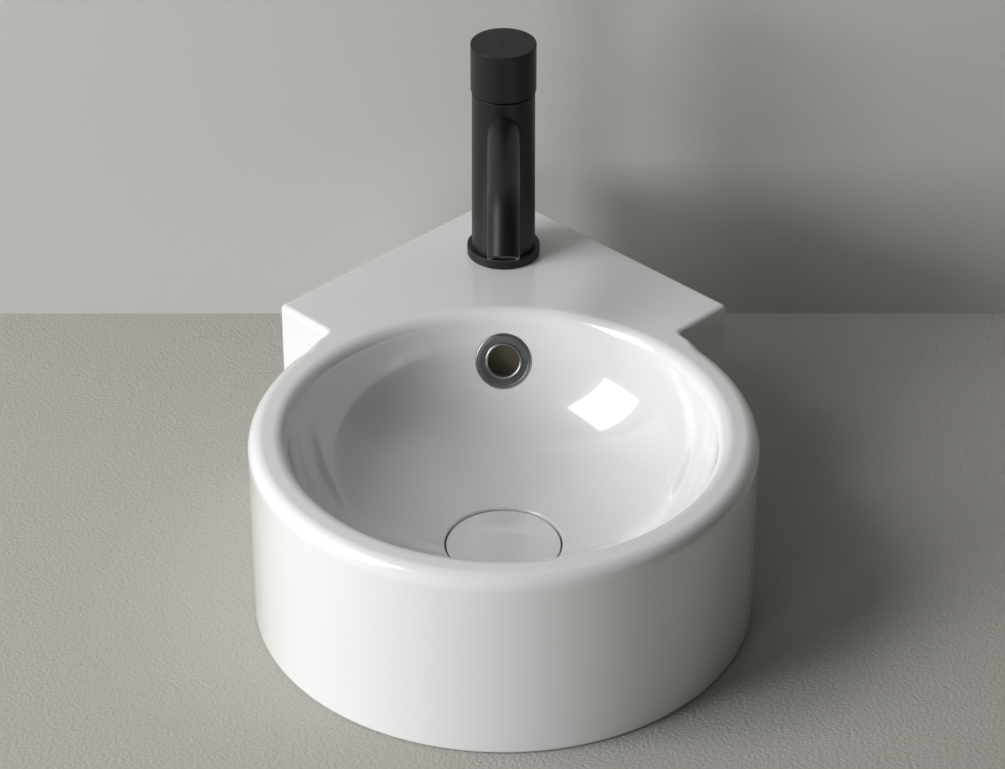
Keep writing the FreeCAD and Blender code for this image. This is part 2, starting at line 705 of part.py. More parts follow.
def ceramic_holes(body):
    """Overflow hole with its flat seat, tap hole, and one fixing hole in each wall face."""
    place = ("0", OVERFLOW_Y, "overflow_z")
    seat = new_sketch(body, "overflow_seat_plan", "XY_Plane", place, OVERFLOW_TURN)
    pocketed(body, circle(seat, "ring_radius + seat_margin"), "overflow_seat", "seat_clearance",
             forward=True)
    hole = new_sketch(body, "overflow_hole_plan", "XY_Plane", place, OVERFLOW_TURN)
    pocketed(body, circle(hole, "overflow_hole"), "overflow_hole", "shell_thickness*2 + duct_depth",
             both_ways=True)
    tap_hole = new_sketch(body, "tap_hole_plan", "XY_Plane")
    pocketed(body, circle(tap_hole, "tap_hole", "0", "tap_distance"), "tap_hole", forward=True)
    for side, name in ((1, "right"), (-1, "left")):
        middle = "(wall_distance - block_wall/2)/root2"
        plan = new_sketch(body, name + "_fixing_plan", "XZ_Plane",
                          ("%d*%s" % (side, middle), "0", "-" + middle), -45 * side, Y_AXIS)
        circle(plan, "fixing_hole", "%d*(fixing_from_corner - wall_distance)" % side, "fixing_height")
        pocketed(body, plan, name + "_fixing", "block_wall*2", both_ways=True)


def basin_body():
    body = new_body("basin_body", "bowl_y")
    block(body)
    bowl(body)
    overflow_duct(body)
    ceramic_holes(body)


def overflow_ring():
    """Trim ring: a collar in the hole, and a dished face between a bead and a raised inner lip."""
    body = new_body("overflow_ring", "bowl_y + " + OVERFLOW_Y, "overflow_z", OVERFLOW_TURN)
    points = [
        ("ring_bore", "-ring_collar"),
        ("overflow_hole - ring_fit", "-ring_collar"),
        ("overflow_hole - ring_fit", "0"),
        ("ring_radius", "0"),
        ("ring_radius", "ring_rise - 0.7"),
        ("ring_radius - 0.7", "ring_rise"),
        ("ring_radius - 1.6", "ring_rise"),
        ("ring_bore + 1.6", "ring_rise - 1.1"),
        ("ring_bore + 1", "ring_rise - 0.2"),
        ("ring_bore", "ring_rise - 0.2"),
    ]
    turned(body, outline(new_sketch(body, "section"), points))


# ---------------------------------------------------------------- waste

def waste_body():
    """Flange and slotted tube, with a three-armed spider that carries the latch sleeve."""
    body = new_body("waste_body", "bowl_y")
    section = outline(new_sketch(body, "section"), [
        ("tube_bore", "tube_bottom"), ("tube_radius", "tube_bottom"), ("tube_radius", "flange_z"),
        ("flange_radius", "flange_z"), ("flange_radius", "flange_top_z"), ("tube_bore", "flange_top_z")])
    turned(body, section)
    hub = rectangle(new_sketch(body, "hub_section"), "sleeve_radius + thread_fit", "spider_hub",
                    "spider_bottom", "spider_bottom + spider_thickness")
    arm = rectangle(new_sketch(body, "arm_plan", "XY_Plane", ("0", "0", "spider_bottom")),
                    "(sleeve_radius + spider_hub)/2", "tube_radius - tube_wall/2",
                    "-spider_arm/2", "spider_arm/2")
    polar_copies(body, padded(body, arm, "arm", "spider_thickness"), "arms", "spider_arms")
    turned(body, hub, "hub")
    slot = rectangle(new_sketch(body, "slot_plan", "XZ_Plane"), "-slot_width/2", "slot_width/2",
                     "duct_floor", "duct_floor + duct_mouth")
    polar_copies(body, pocketed(body, slot, "slot", "tube_radius + 1"), "slots", "slot_count")


def waste_tail():
    """Lower half: clamping flange and the outlet with its outside thread."""
    body = new_body("waste_tail", "bowl_y")
    section = outline(new_sketch(body, "section"), [
        ("tube_radius + thread_fit", "tail_bottom"), ("tail_thread", "tail_bottom"),
        ("tail_thread", "tail_flange_z"), ("tail_flange_radius", "tail_flange_z"),
        ("tail_flange_radius", "tail_top_z"), ("tube_radius + thread_fit", "tail_top_z")])
    turned(body, section)


def waste_seals():
    ring_piece("waste_upper_seal", "bowl_y", "waste_hole + upper_seal_gap", "flange_radius",
               "recess_floor", "flange_z")
    ring_piece("waste_lower_seal", "bowl_y", "tube_radius + running_clearance", "lower_seal_radius",
               "tail_top_z", "boss_bottom")


def latch_sleeve():
    """Fixed sleeve of the push-open latch: floor, guide bore and the roof that the rod runs in."""
    body = new_body("latch_sleeve", "bowl_y")
    section = outline(new_sketch(body, "section"), [
        ("0", "sleeve_bottom"), ("sleeve_radius", "sleeve_bottom"), ("sleeve_radius", "sleeve_seat_z"),
        ("sleeve_shoulder", "sleeve_seat_z"),
        ("sleeve_shoulder", "sleeve_seat_z + sleeve_shoulder_thickness"),
        ("sleeve_radius", "sleeve_seat_z + sleeve_shoulder_thickness"), ("sleeve_radius", "sleeve_top_z"),
        ("rod_radius + running_clearance", "sleeve_top_z"),
        ("rod_radius + running_clearance", "sleeve_top_z - sleeve_roof"),
        ("sleeve_bore", "sleeve_top_z - sleeve_roof"), ("sleeve_bore", "spring_z"), ("0", "spring_z")])
    turned(body, section)


def plug_rod():
    """Moving rod: tail inside the spring, collar on it, shaft through the roof, spigot in the plate."""
    body = new_body("plug_rod", "bowl_y")
    collar = "sleeve_bore - running_clearance*2"
    section = outline(new_sketch(body, "section"), [
        ("0", "rod_tail_z"), ("rod_tail_radius", "rod_tail_z"),
        ("rod_tail_radius", "rod_collar_z"), (collar, "rod_collar_z"), (collar, "rod_collar_top_z"),
        ("rod_radius", "rod_collar_top_z"), ("rod_radius", "plate_z"), ("rod_tail_radius", "plate_z"),
        ("rod_tail_radius", "cap_z - thread_fit"), ("0", "cap_z - thread_fit")])
    turned(body, section)


def plug_spring():
    body = new_body("plug_spring", "bowl_y", "spring_z + spring_wire")
    wire = circle(new_sketch(body, "wire"), "spring_wire", "spring_radius", "0")
    coil = add_feature(body, "AdditiveHelix", "coil", wire)
    coil.ReferenceAxis = (wire, ["V_Axis"])
    coil.Mode = "height-turns-angle"
    coil.setExpression("Height", formula("rod_collar_z - spring_z - spring_wire*2"))
    coil.setExpression("Turns", formula("spring_turns"))
    settled(body, coil)


def plug_plate():
    """Carrier under the cap: a plate with a grooved skirt that guides it in the tube."""
    body = new_body("plug_plate", "bowl_y")
    groove = "plug_skirt_radius - plug_seal_depth"
    bore = "plug_skirt_radius - plug_skirt_wall"
    section = outline(new_sketch(body, "section"), [
        ("rod_tail_radius + thread_fit", "plate_z"), (bore, "plate_z"), (bore, "plug_skirt_z"),
        ("plug_skirt_radius", "plug_skirt_z"), ("plug_skirt_radius", "plug_seal_z"),
        (groove, "plug_seal_z"), (groove, "plug_seal_z + plug_seal_height"),
        ("plug_skirt_radius", "plug_seal_z + plug_seal_height"), ("plug_skirt_radius", "plate_z"),
        ("plate_radius", "plate_z"), ("plate_radius", "cap_z"), ("rod_tail_radius + thread_fit", "cap_z")])
    turned(body, section)


def plug_seal():
    ring_piece("plug_seal", "bowl_y", "plug_skirt_radius - plug_seal_depth",
               "tube_bore - running_clearance", "plug_seal_z", "plug_seal_z + plug_seal_height")


def waste_cap():
    """Round ceramic cap with a rounded edge and a slight crown."""
    body = new_body("waste_cap", "bowl_y")
    flat = "cap_radius - cap_round"
    crown_radius = "(((%s)^2 + cap_crown^2)/(2*cap_crown))" % flat
    points = [("0", "cap_z"), ("cap_radius", "cap_z"), ("cap_radius", "cap_edge_z - cap_round"),
              (flat, "cap_edge_z"), ("0", "cap_edge_z + cap_crown")]
    arcs = {2: ("cap_round", flat, "cap_edge_z - cap_round", 1),
            3: (crown_radius, "0", "cap_edge_z + cap_crown - " + crown_radius, 1)}
    turned(body, outline(new_sketch(body, "section"), points, arcs))


# ---------------------------------------------------------------- tap: pillar and its fixing

def tap_body_piece(label, tilt=None, y="0", z="0"):
    """A body in the tap's frame: its axis through the tap hole, heights above the deck."""
    return new_body(label, "tap_y + (%s)" % y, "basin_height + (%s)" % z, tilt)


def tap_ring(label, inner, outer, bottom, top):
    return ring_piece(label, "tap_y", inner, outer, bottom, top, z="basin_height")


def tap_base_ring():
    body = tap_body_piece("tap_base_ring")
    bore = "spigot_radius + running_clearance"
    section = outline(new_sketch(body, "section"), [
        (bore, "base_gap"), ("gasket_inner", "base_gap"), ("gasket_inner", "gasket_height"),
        ("gasket_outer", "gasket_height"), ("gasket_outer", "base_gap"), ("base_radius", "base_gap"),
        ("base_radius", "base_height - base_chamfer"), ("base_radius - base_chamfer", "base_height"),
        (bore, "base_height")])
    turned(body, section)


def tap_gasket():
    tap_ring("tap_gasket", "gasket_inner", "gasket_outer", "0", "gasket_height")


def tap_body():
    """Tapered pillar with a spigot in the tap hole, a threaded neck, the cartridge bore, two inlet
    channels, the outlet channel and the sloping socket of the spout."""
    body = tap_body_piece("tap_body")
    section = outline(new_sketch(body, "section"), [
        ("0", "-spigot_depth"), ("spigot_radius", "-spigot_depth"), ("spigot_radius", "base_height"),
        ("pillar_foot_radius", "base_height"), ("pillar_top_radius", "pillar_height"),
        ("neck_radius", "pillar_height"), ("neck_radius", "neck_top"),
        ("cartridge_radius + cartridge_fit", "neck_top"),
        ("cartridge_radius + cartridge_fit", "cartridge_seat"), ("0", "cartridge_seat")])
    turned(body, section)
    for side, name in ((1, "right"), (-1, "left")):
        x = "%d*inlet_side" % side
        channel = new_sketch(body, name + "_channel_plan", "XY_Plane", ("0", "0", "-spigot_depth"))
        pocketed(body, circle(channel, "channel_radius", x, "inlet_back"), name + "_channel", forward=True)
        port = new_sketch(body, name + "_port_plan", "XY_Plane", ("0", "0", "-spigot_depth"))
        pocketed(body, circle(port, "inlet_port", x, "inlet_back"), name + "_port", "inlet_port_depth",
                 forward=True)
    outlet = new_sketch(body, "outlet_plan", "XY_Plane", ("0", "0", "cartridge_seat"))
    pocketed(body, circle(outlet, "channel_radius", "0", "-outlet_front"), "outlet", "outlet_depth")
    stud = new_sketch(body, "stud_plan", "XY_Plane", ("0", "0", "-spigot_depth"))
    pocketed(body, circle(stud, "stud_radius + thread_fit", "0", "-stud_front"), "stud_hole",
             "stud_in_body", forward=True)
    socket = new_sketch(body, "socket_plan", "XY_Plane",
                        ("0", "-socket_start*cos(spout_root_slope)",
                         "spout_root_height - socket_start*sin(spout_root_slope)"), "90 + spout_root_slope")
    pocketed(body, circle(socket, "spout_spigot + spout_fit"), "socket", "pillar_foot_radius", forward=True)


def fixing_stud():
    body = tap_body_piece("fixing_stud", y="-stud_front")
    turned(body, rectangle(new_sketch(body, "section"), "0", "stud_radius",
                           "-deck_thickness - stud_below_deck", "stud_in_body - spigot_depth - thread_fit"))


def horseshoe(label, top, thickness):
    """A washer under the deck, open at the back for the hoses and holed for the stud."""
    body = tap_body_piece(label)
    disc = circle(new_sketch(body, "plan", "XY_Plane", ("0", "0", top)), "horseshoe_radius")
    padded(body, disc, "disc", thickness, back=True)
    slot = rectangle(new_sketch(body, "slot_plan", "XY_Plane", ("0", "0", top)), "-horseshoe_slot",
                     "horseshoe_slot", "-horseshoe_slot_start", "horseshoe_radius + 1")
    pocketed(body, slot, "slot")
    hole = new_sketch(body, "hole_plan", "XY_Plane", ("0", "0", top))
    pocketed(body, circle(hole, "horseshoe_hole", "0", "-stud_front"), "hole")


def hexagon(sketch, across_flats):
    """A regular hexagon about the sketch's origin, flats towards X."""
    half = "(%s)/2" % across_flats
    corner = "(%s)/sqrt(3)" % across_flats
    points = [(half, "-(%s)/2" % corner), (half, "(%s)/2" % corner), ("0", corner),
              ("-" + half, "(%s)/2" % corner), ("-" + half, "-(%s)/2" % corner), ("0", "-" + corner)]
    return outline(sketch, points)


def fixing_nut():
    body = tap_body_piece("fixing_nut", y="-stud_front")
    top = "-deck_thickness - rubber_thickness - plate_washer_thickness"
    plan = hexagon(new_sketch(body, "plan", "XY_Plane", ("0", "0", top)), "nut_across_flats")
    padded(body, plan, "hexagon", "nut_height", back=True)
    bore = circle(new_sketch(body, "bore_plan", "XY_Plane", ("0", "0", top)), "stud_radius + thread_fit")
    pocketed(body, bore, "bore")


# ---------------------------------------------------------------- tap: cartridge

def port_holes(body, bottom, radius):
    """Two inlet ports and one outlet port right through a cartridge piece."""
    ports = (("right", "inlet_side", "inlet_back"), ("left", "-inlet_side", "inlet_back"),
             ("outlet", "0", "-outlet_front"))
    for name, x, y in ports:
        plan = new_sketch(body, name + "_port_plan", "XY_Plane", ("0", "0", bottom))
        pocketed(body, circle(plan, radius, x, y), name + "_port", forward=True)


def cartridge_fixed_pieces():
    port_holes(tap_ring("cartridge_seal", "0", "cartridge_radius", "cartridge_seat", "cartridge_base_z"),
               "cartridge_seat", "disc_port")
    port_holes(tap_ring("cartridge_base", "0", "cartridge_radius", "cartridge_base_z", "housing_z"),
               "cartridge_base_z", "disc_port")
    port_holes(tap_ring("fixed_disc", "0", "disc_radius", "housing_z", "moving_disc_z"),
               "housing_z", "disc_port")
    body = tap_body_piece("cartridge_housing")
    section = outline(new_sketch(body, "section"), [
        ("housing_cavity", "housing_z"), ("cartridge_radius", "housing_z"),
        ("cartridge_radius", "housing_shoulder_z"), ("cartridge_collar", "housing_shoulder_z"),
        ("cartridge_collar", "housing_top_z"), ("stem_radius + running_clearance", "housing_top_z"),
        ("stem_radius + running_clearance", "housing_roof_z"), ("housing_cavity", "housing_roof_z")])
    turned(body, section)


def moving_disc():
    body = tap_ring("moving_disc", "0", "disc_radius - disc_margin", "moving_disc_z", "drive_plate_z")
    pocket = new_sketch(body, "mixing_plan", "XY_Plane", ("0", "0", "moving_disc_z"))
    circle(pocket, "mixing_pocket", "0", "-mixing_pocket_front")
    pocketed(body, pocket, "mixing_pocket", "mixing_pocket_depth", forward=True)


def double_flat(sketch, radius, flat):
    """A round section with two flats towards X."""
    reach = "sqrt((%s)^2 - (%s)^2)" % (radius, flat)
    points = [(flat, "-" + reach), (flat, reach), ("-(%s)" % flat, reach), ("-(%s)" % flat, "-" + reach)]
    return outline(sketch, points, {1: (radius, "0", "0", 1), 3: (radius, "0", "0", 1)})


def cartridge_stem():
    """Drive plate on the moving disc, shaft through the housing, and a drive end with two flats."""
    body = tap_body_piece("cartridge_stem")
    section = outline(new_sketch(body, "section"), [
        ("0", "drive_plate_z"), ("drive_plate_radius", "drive_plate_z"),
        ("drive_plate_radius", "stem_shaft_z"), ("stem_radius", "stem_shaft_z"),
        ("stem_radius", "stem_drive_z"), ("0", "stem_drive_z")])
    turned(body, section)
    drive = new_sketch(body, "drive_plan", "XY_Plane", ("0", "0", "stem_drive_z"))
    padded(body, double_flat(drive, "stem_drive_radius", "stem_drive_flat"), "drive", "stem_top_z - stem_drive_z")


def cartridge_nut():
    """Cap nut over the neck, holding the housing's shoulder down."""
    body = tap_body_piece("cartridge_nut")
    thread = "neck_radius + thread_fit"
    section = outline(new_sketch(body, "section"), [
        (thread, "pillar_height + nut_gap"), ("nut_radius", "pillar_height + nut_gap"),
        ("nut_radius", "housing_shoulder_z + nut_lip"),
        ("cartridge_collar + cartridge_fit", "housing_shoulder_z + nut_lip"),
        ("cartridge_collar + cartridge_fit", "housing_shoulder_z"), (thread, "housing_shoulder_z")])
    turned(body, section)


# ---------------------------------------------------------------- tap: knob

def control_knob():
    """Cup with an inner hub, a key hole at the back and an index line across the top's front half."""
    body = tap_body_piece("control_knob")
    bore = "adapter_radius + adapter_fit"
    section = outline(new_sketch(body, "section"), [
        ("0", "knob_ceiling_z"), (bore, "knob_ceiling_z"), (bore, "hub_z"), ("knob_hub", "hub_z"),
        ("knob_hub", "knob_ceiling_z"), ("knob_bore", "knob_ceiling_z"), ("knob_bore", "knob_z"),
        ("knob_radius", "knob_z"), ("knob_radius", "knob_top - knob_edge"),
        ("knob_radius - knob_edge", "knob_top"), ("0", "knob_top")])
    turned(body, section)
    key_hole = circle(new_sketch(body, "key_hole_plan"), "grub_radius + thread_fit", "0", "grub_z")
    pocketed(body, key_hole, "key_hole", "knob_radius + 1")
    index = rectangle(new_sketch(body, "index_plan", "XY_Plane", ("0", "0", "knob_top")),
                      "-index_width/2", "index_width/2", "-knob_radius - 1", "0")
    pocketed(body, index, "index_line", "index_depth")


def knob_adapter():
    body = tap_ring("knob_adapter", "0", "adapter_radius", "adapter_z", "knob_ceiling_z")
    bore = new_sketch(body, "bore_plan", "XY_Plane", ("0", "0", "adapter_z"))
    double_flat(bore, "stem_drive_radius + adapter_fit", "stem_drive_flat + adapter_fit")
    pocketed(body, bore, "bore", "stem_top_z - adapter_z + running_clearance", forward=True)


def grub_screw():
    """Socket screw in the hub, pointing at the adapter from the back."""
    body = tap_body_piece("grub_screw", tilt="-90", z="grub_z")
    turned(body, rectangle(new_sketch(body, "section"), "0", "grub_radius",
                           "adapter_radius + adapter_fit*2", "knob_hub"))
    socket = hexagon(new_sketch(body, "socket_plan", "XY_Plane", ("0", "0", "knob_hub")), "grub_socket*2")
    pocketed(body, socket, "socket", "grub_socket_depth")


# ---------------------------------------------------------------- tap: spout

def along_root(distance):
    """Place on the spout's straight root, at a distance from the tap's axis."""
    return ("-(%s)*cos(spout_root_slope)" % distance,
            "spout_root_height - (%s)*sin(spout_root_slope)" % distance)


def spout_route(body, name):
    route = new_sketch(body, name, "YZ_Plane")
    points = [along_root("spout_inset"), ("bend_start_y", "bend_start_z"), ("bend_end_y", "bend_end_z"),
              ("tip_y", "tip_z")]
    arcs = {1: ("spout_bend", "bend_centre_y", "bend_centre_z", 1)}
    return outline(route, points, arcs, closed=False)


def swept(body, name, radius, kind):
    """A round section carried along the spout's route."""
    route = spout_route(body, name + "_route")
    root_y, root_z = along_root("spout_inset")
    ring = new_sketch(body, name + "_ring", "XY_Plane", ("0", root_y, root_z), "90 + spout_root_slope")
    pipe = add_feature(body, kind, name, circle(ring, radius))
    pipe.Spine = (route, ["Edge1", "Edge2", "Edge3"])
    return settled(body, pipe)


def spout():
    """Curved tube: a saddle against the pillar, a spigot in its socket, the bore and the outlet."""
    body = tap_body_piece("spout")
    swept(body, "tube", "spout_radius", "AdditivePipe")
    low, high = "base_height", "pillar_height"
    pillar = outline(new_sketch(body, "pillar_section"), [
        ("0", low), (pillar_radius(low) + " + spout_fit", low),
        (pillar_radius(high) + " + spout_fit", high), ("0", high)])
    turned(body, pillar, "saddle", cut=True)
    root_y, root_z = along_root("spout_inset")
    end = new_sketch(body, "spigot_plan", "XY_Plane", ("0", root_y, root_z), "90 + spout_root_slope")
    padded(body, circle(end, "spout_spigot"), "spigot", "spout_spigot_length")
    swept(body, "bore", "spout_bore", "SubtractivePipe")
    outlet = new_sketch(body, "outlet_plan", "XY_Plane", ("0", "tip_y", "tip_z"), "90 + spout_tip_slope")
    pocketed(body, circle(outlet, "aerator_radius"), "outlet", "aerator_depth")


def spout_seal():
    root_y, root_z = along_root("socket_start")
    ring_piece("spout_seal", "tap_y + (%s)" % root_y, "spout_bore", "spout_spigot", "0",
               "spout_seal_thickness", "90 + spout_root_slope", "basin_height + (%s)" % root_z)


def tip_piece(label):
    """A body at the spout's mouth, +Z out of it."""
    return tap_body_piece(label, "90 + spout_tip_slope", "tip_y", "tip_z")


def aerator():
    """Washer in the outlet, a housing with an inner lip, and the jet plate in it."""
    inside = "-aerator_depth + aerator_washer"
    outer = "aerator_radius - aerator_fit"
    bore = "aerator_radius - aerator_wall"
    washer = tip_piece("aerator_washer")
    turned(washer, rectangle(new_sketch(washer, "section"), "spout_bore", outer, "-aerator_depth", inside))
    housing = tip_piece("aerator_housing")
    turned(housing, outline(new_sketch(housing, "section"), [
        ("spout_bore", inside), (outer, inside), (outer, "-aerator_recess"), (bore, "-aerator_recess"),
        (bore, inside + " + aerator_wall"), ("spout_bore", inside + " + aerator_wall")]))
    plate = tip_piece("aerator_insert")
    turned(plate, rectangle(new_sketch(plate, "section"), "0", bore + " - aerator_fit",
                            inside + " + aerator_wall", "-aerator_recess*2"))
    jet = circle(new_sketch(plate, "jet_plan", "XY_Plane"), "jet_radius", "jet_circle", "0")
    polar_copies(plate, pocketed(plate, jet, "jet"), "jets", "jet_count")


# ---------------------------------------------------------------- whole object

def check_all():
    for thing in doc.Objects:
        if "Invalid" in thing.State or "Error" in thing.State:
            raise RuntimeError("%s is in error" % thing.Name)
    for body in sub_parts:
        if body.Shape.isNull() or not body.Shape.isValid() or not body.Shape.Solids:
            raise RuntimeError("%s has no valid solid" % body.Label)


def write_all():
    os.makedirs("parts", exist_ok=True)
    for body in sub_parts:
        body.Shape.exportStep("parts/%s.step" % body.Label)
        print("%-20s %d solid, %9.1f mm3" % (body.Label, len(body.Shape.Solids), body.Shape.Volume))


basin_body()
overflow_ring()
waste_body()
waste_tail()
waste_seals()
latch_sleeve()
plug_rod()
plug_spring()
plug_plate()
plug_seal()
waste_cap()
tap_base_ring()
tap_gasket()
tap_body()
fixing_stud()
horseshoe("horseshoe_rubber", "-deck_thickness", "rubber_thickness")
horseshoe("horseshoe_plate", "-deck_thickness - rubber_thickness", "plate_washer_thickness")
fixing_nut()
cartridge_fixed_pieces()
moving_disc()
cartridge_stem()
cartridge_nut()
control_knob()
knob_adapter()
grub_screw()
spout()
spout_seal()
aerator()
doc.recompute()
check_all()
write_all()
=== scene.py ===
# %% [markdown]
# # A corner basin with a black pillar tap
#
# The object is a small wash basin of glazed ceramic. A round bowl grows out of a square block that
# fits into the corner of a room. A matt black tap stands on the block, a metal ring trims the
# overflow hole, and a ceramic cap covers the waste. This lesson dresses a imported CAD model: it makes
# the pieces that show again as smooth meshes, gives every piece a finish, and sets up camera,
# backdrop and light.

# %% Load the frame
import json
from math import atan2, cos, degrees, hypot, radians, sin, sqrt

import bmesh
import bpy
from mathutils import Matrix, Vector

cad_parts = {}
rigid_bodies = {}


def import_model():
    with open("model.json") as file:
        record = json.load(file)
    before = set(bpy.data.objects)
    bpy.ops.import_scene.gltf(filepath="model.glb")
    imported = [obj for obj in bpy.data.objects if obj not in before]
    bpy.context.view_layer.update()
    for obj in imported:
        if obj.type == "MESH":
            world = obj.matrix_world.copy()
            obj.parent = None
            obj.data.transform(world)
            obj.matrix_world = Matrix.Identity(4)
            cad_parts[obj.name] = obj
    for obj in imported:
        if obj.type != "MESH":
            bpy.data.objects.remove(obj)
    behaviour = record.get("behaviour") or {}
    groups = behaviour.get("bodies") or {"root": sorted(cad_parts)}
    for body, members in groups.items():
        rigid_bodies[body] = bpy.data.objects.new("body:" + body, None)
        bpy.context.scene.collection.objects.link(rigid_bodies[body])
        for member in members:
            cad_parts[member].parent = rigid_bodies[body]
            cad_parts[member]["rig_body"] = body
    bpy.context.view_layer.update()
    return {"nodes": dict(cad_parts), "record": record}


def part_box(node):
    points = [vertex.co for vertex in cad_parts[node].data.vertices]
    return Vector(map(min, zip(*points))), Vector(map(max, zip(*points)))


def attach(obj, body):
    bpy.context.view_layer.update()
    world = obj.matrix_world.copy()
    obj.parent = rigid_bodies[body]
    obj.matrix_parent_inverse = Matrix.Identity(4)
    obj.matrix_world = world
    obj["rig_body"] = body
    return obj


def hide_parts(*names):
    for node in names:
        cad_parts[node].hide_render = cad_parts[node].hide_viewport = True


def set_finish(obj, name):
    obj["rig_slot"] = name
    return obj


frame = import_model()
nodes = frame["nodes"]


def rounded(numbers, digits=3):
    return [round(number, digits) for number in numbers]


# %% [markdown]
# ## Places that everything else hangs on
#
# Three places are enough: the upright axis of the bowl, the upright axis of the tap, and the height
# of the deck. They are read from the frame, so that the pieces stay on the CAD model. From here on
# all sizes are written in millimetres, and one function turns them into Blender's metres.

# %% Axes and heights
MM = 0.001


def point(x, y, z):
    return Vector((x, y, z)) * MM


def middle(node):
    low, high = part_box(node)
    return (low + high) / 2 / MM


BOWL_Y = middle("waste_cap").y
TAP_Y = middle("tap_base_ring").y
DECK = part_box("basin_body")[1].z / MM
print("bowl axis at y = %.1f, tap axis at y = %.1f, deck at z = %.1f" % (BOWL_Y, TAP_Y, DECK))

# %% [markdown]
# ## The camera
#
# The picture looks down on the basin from the front through a long lens, from about two metres away.
# A long lens keeps the skirt's sides nearly parallel. The camera stands first because every later
# choice is judged through it. Its tilt and lens come from the outline of the bowl and its foot.

# %% Camera
CAMERA_TILT = 33.27          # degrees below the horizontal
CAMERA_ACROSS = -0.6         # beside the bowl's axis
CAMERA_BACK = 1642.6         # in front of it
CAMERA_HEIGHT = 1230.8
SENSOR = 36.0
CAMERA_LENS = 121.2          # on a sensor that wide
FAR_CLIP = 20.0              # metres

lens = bpy.data.cameras.new("photo_camera")
lens.lens = CAMERA_LENS
lens.sensor_width = SENSOR
lens.clip_end = FAR_CLIP
camera = bpy.data.objects.new("photo_camera", lens)
camera.location = point(CAMERA_ACROSS, BOWL_Y - CAMERA_BACK, CAMERA_HEIGHT)
camera.rotation_euler = (radians(90 - CAMERA_TILT), 0, 0)
bpy.context.scene.collection.objects.link(camera)
bpy.context.scene.camera = camera
print("camera at", rounded(camera.location))

# %% [markdown]
# ## A pen for outlines
#
# Nearly every piece here is turned on a lathe or cut from a plan, so each starts as a flat line. The
# line could be typed as a long list of points, but a real drawing is made of straight runs and arcs.
# The pen does just that: it extrudes its last vertex for a run and spins it for an arc.

# %% Pen
ACROSS, BACK, UP = Vector((1, 0, 0)), Vector((0, 1, 0)), Vector((0, 0, 1))
MERGE = 1e-6                 # metres within which vertices become one


class Pen:
    """Draws a chain of edges on the plane that `right` and `up` span, seen with `right` to the right."""

    def __init__(self, x, y, right=ACROSS, up=UP, mesh=None):
        self.right, self.up = right, up
        self.mesh = mesh or bmesh.new()
        self.tip = self.mesh.verts.new(self.place(x, y))
        self.chain = [self.tip]

    def place(self, x, y):
        return (self.right * x + self.up * y) * MM

    def to(self, x, y):
        """A straight run."""
        self.tip = bmesh.ops.extrude_vert_indiv(self.mesh, verts=[self.tip])["verts"][0]
        self.tip.co = self.place(x, y)
        self.chain.append(self.tip)
        return self

    def turn(self, x, y, angle, steps):
        """An arc round (x, y); a positive angle is anticlockwise."""
        for _ in range(steps):
            made = bmesh.ops.spin(self.mesh, geom=[self.tip], cent=self.place(x, y),
                                  axis=self.right.cross(self.up), angle=radians(angle / steps), steps=1)
            self.tip = [v for v in made["geom_last"] if isinstance(v, bmesh.types.BMVert)][0]
            self.chain.append(self.tip)
        return self

    def close(self):
        """A straight run back to the first point."""
        self.mesh.edges.new((self.tip, self.chain[0]))
        return self

    def edges(self):
        mine = set(self.chain)
        return [e for e in self.mesh.edges if e.verts[0] in mine and e.verts[1] in mine]


def tidy_mesh(mesh):
    """Join what meets and turn every face outwards."""
    bmesh.ops.remove_doubles(mesh, verts=mesh.verts, dist=MERGE)
    bmesh.ops.dissolve_degenerate(mesh, edges=mesh.edges, dist=1e-7)
    bmesh.ops.recalc_face_normals(mesh, faces=mesh.faces)
    return mesh


def revolve(pen, steps=128):
    """Turn the pen's line once round the Z axis."""
    bmesh.ops.spin(pen.mesh, geom=pen.chain + pen.edges(), cent=(0, 0, 0), axis=UP,
                   angle=radians(360), steps=steps, use_merge=True)
    return tidy_mesh(pen.mesh)


def slab(pen, depth):
    """Fill the pen's closed line and extrude it both ways, to a slab of that depth."""
    face = bmesh.ops.contextual_create(pen.mesh, geom=pen.edges())["faces"][0]
    across = pen.right.cross(pen.up) * MM * depth
    made = bmesh.ops.extrude_face_region(pen.mesh, geom=[face], use_keep_orig=True)
    far = [v for v in made["geom"] if isinstance(v, bmesh.types.BMVert)]
    bmesh.ops.translate(pen.mesh, verts=far, vec=across)
    bmesh.ops.translate(pen.mesh, verts=pen.mesh.verts, vec=-across / 2)
    return tidy_mesh(pen.mesh)


print("outline tools:", [tool.__name__ for tool in (Pen, revolve, slab)])

# %% [markdown]
# ## From a mesh to a piece
#
# A finished piece is an object at the origin with its place in its mesh. It is shaded smooth, with
# edges sharper than 35 degrees kept crisp, and large flat faces get the last word on the normals
# where they meet a rounding, so that a glossy deck doesn't look pillowed. Each piece then rides on a
# CAD body, takes the slot of the CAD node it stands for and hides that node. Cutting is done with
# throwaway solids.

# %% Pieces and cuts
SHARP_EDGE = 35              # degrees between two faces
FLAT_LEAD = 70               # how much a large face's normal counts, where 50 is neutral
DRILL_STEPS = 64
slot_of = {part["node"]: part["material_slot"] for part in frame["record"]["subparts"]}


def as_object(name, mesh, turn=Matrix.Identity(4), at=(0, 0, 0)):
    """An object of this bmesh, with the turn and then the place applied to its vertices."""
    bmesh.ops.transform(mesh, matrix=Matrix.Translation(point(*at)) @ turn, verts=mesh.verts)
    data = bpy.data.meshes.new(name)
    mesh.to_mesh(data)
    mesh.free()
    thing = bpy.data.objects.new(name, data)
    bpy.context.scene.collection.objects.link(thing)
    return thing


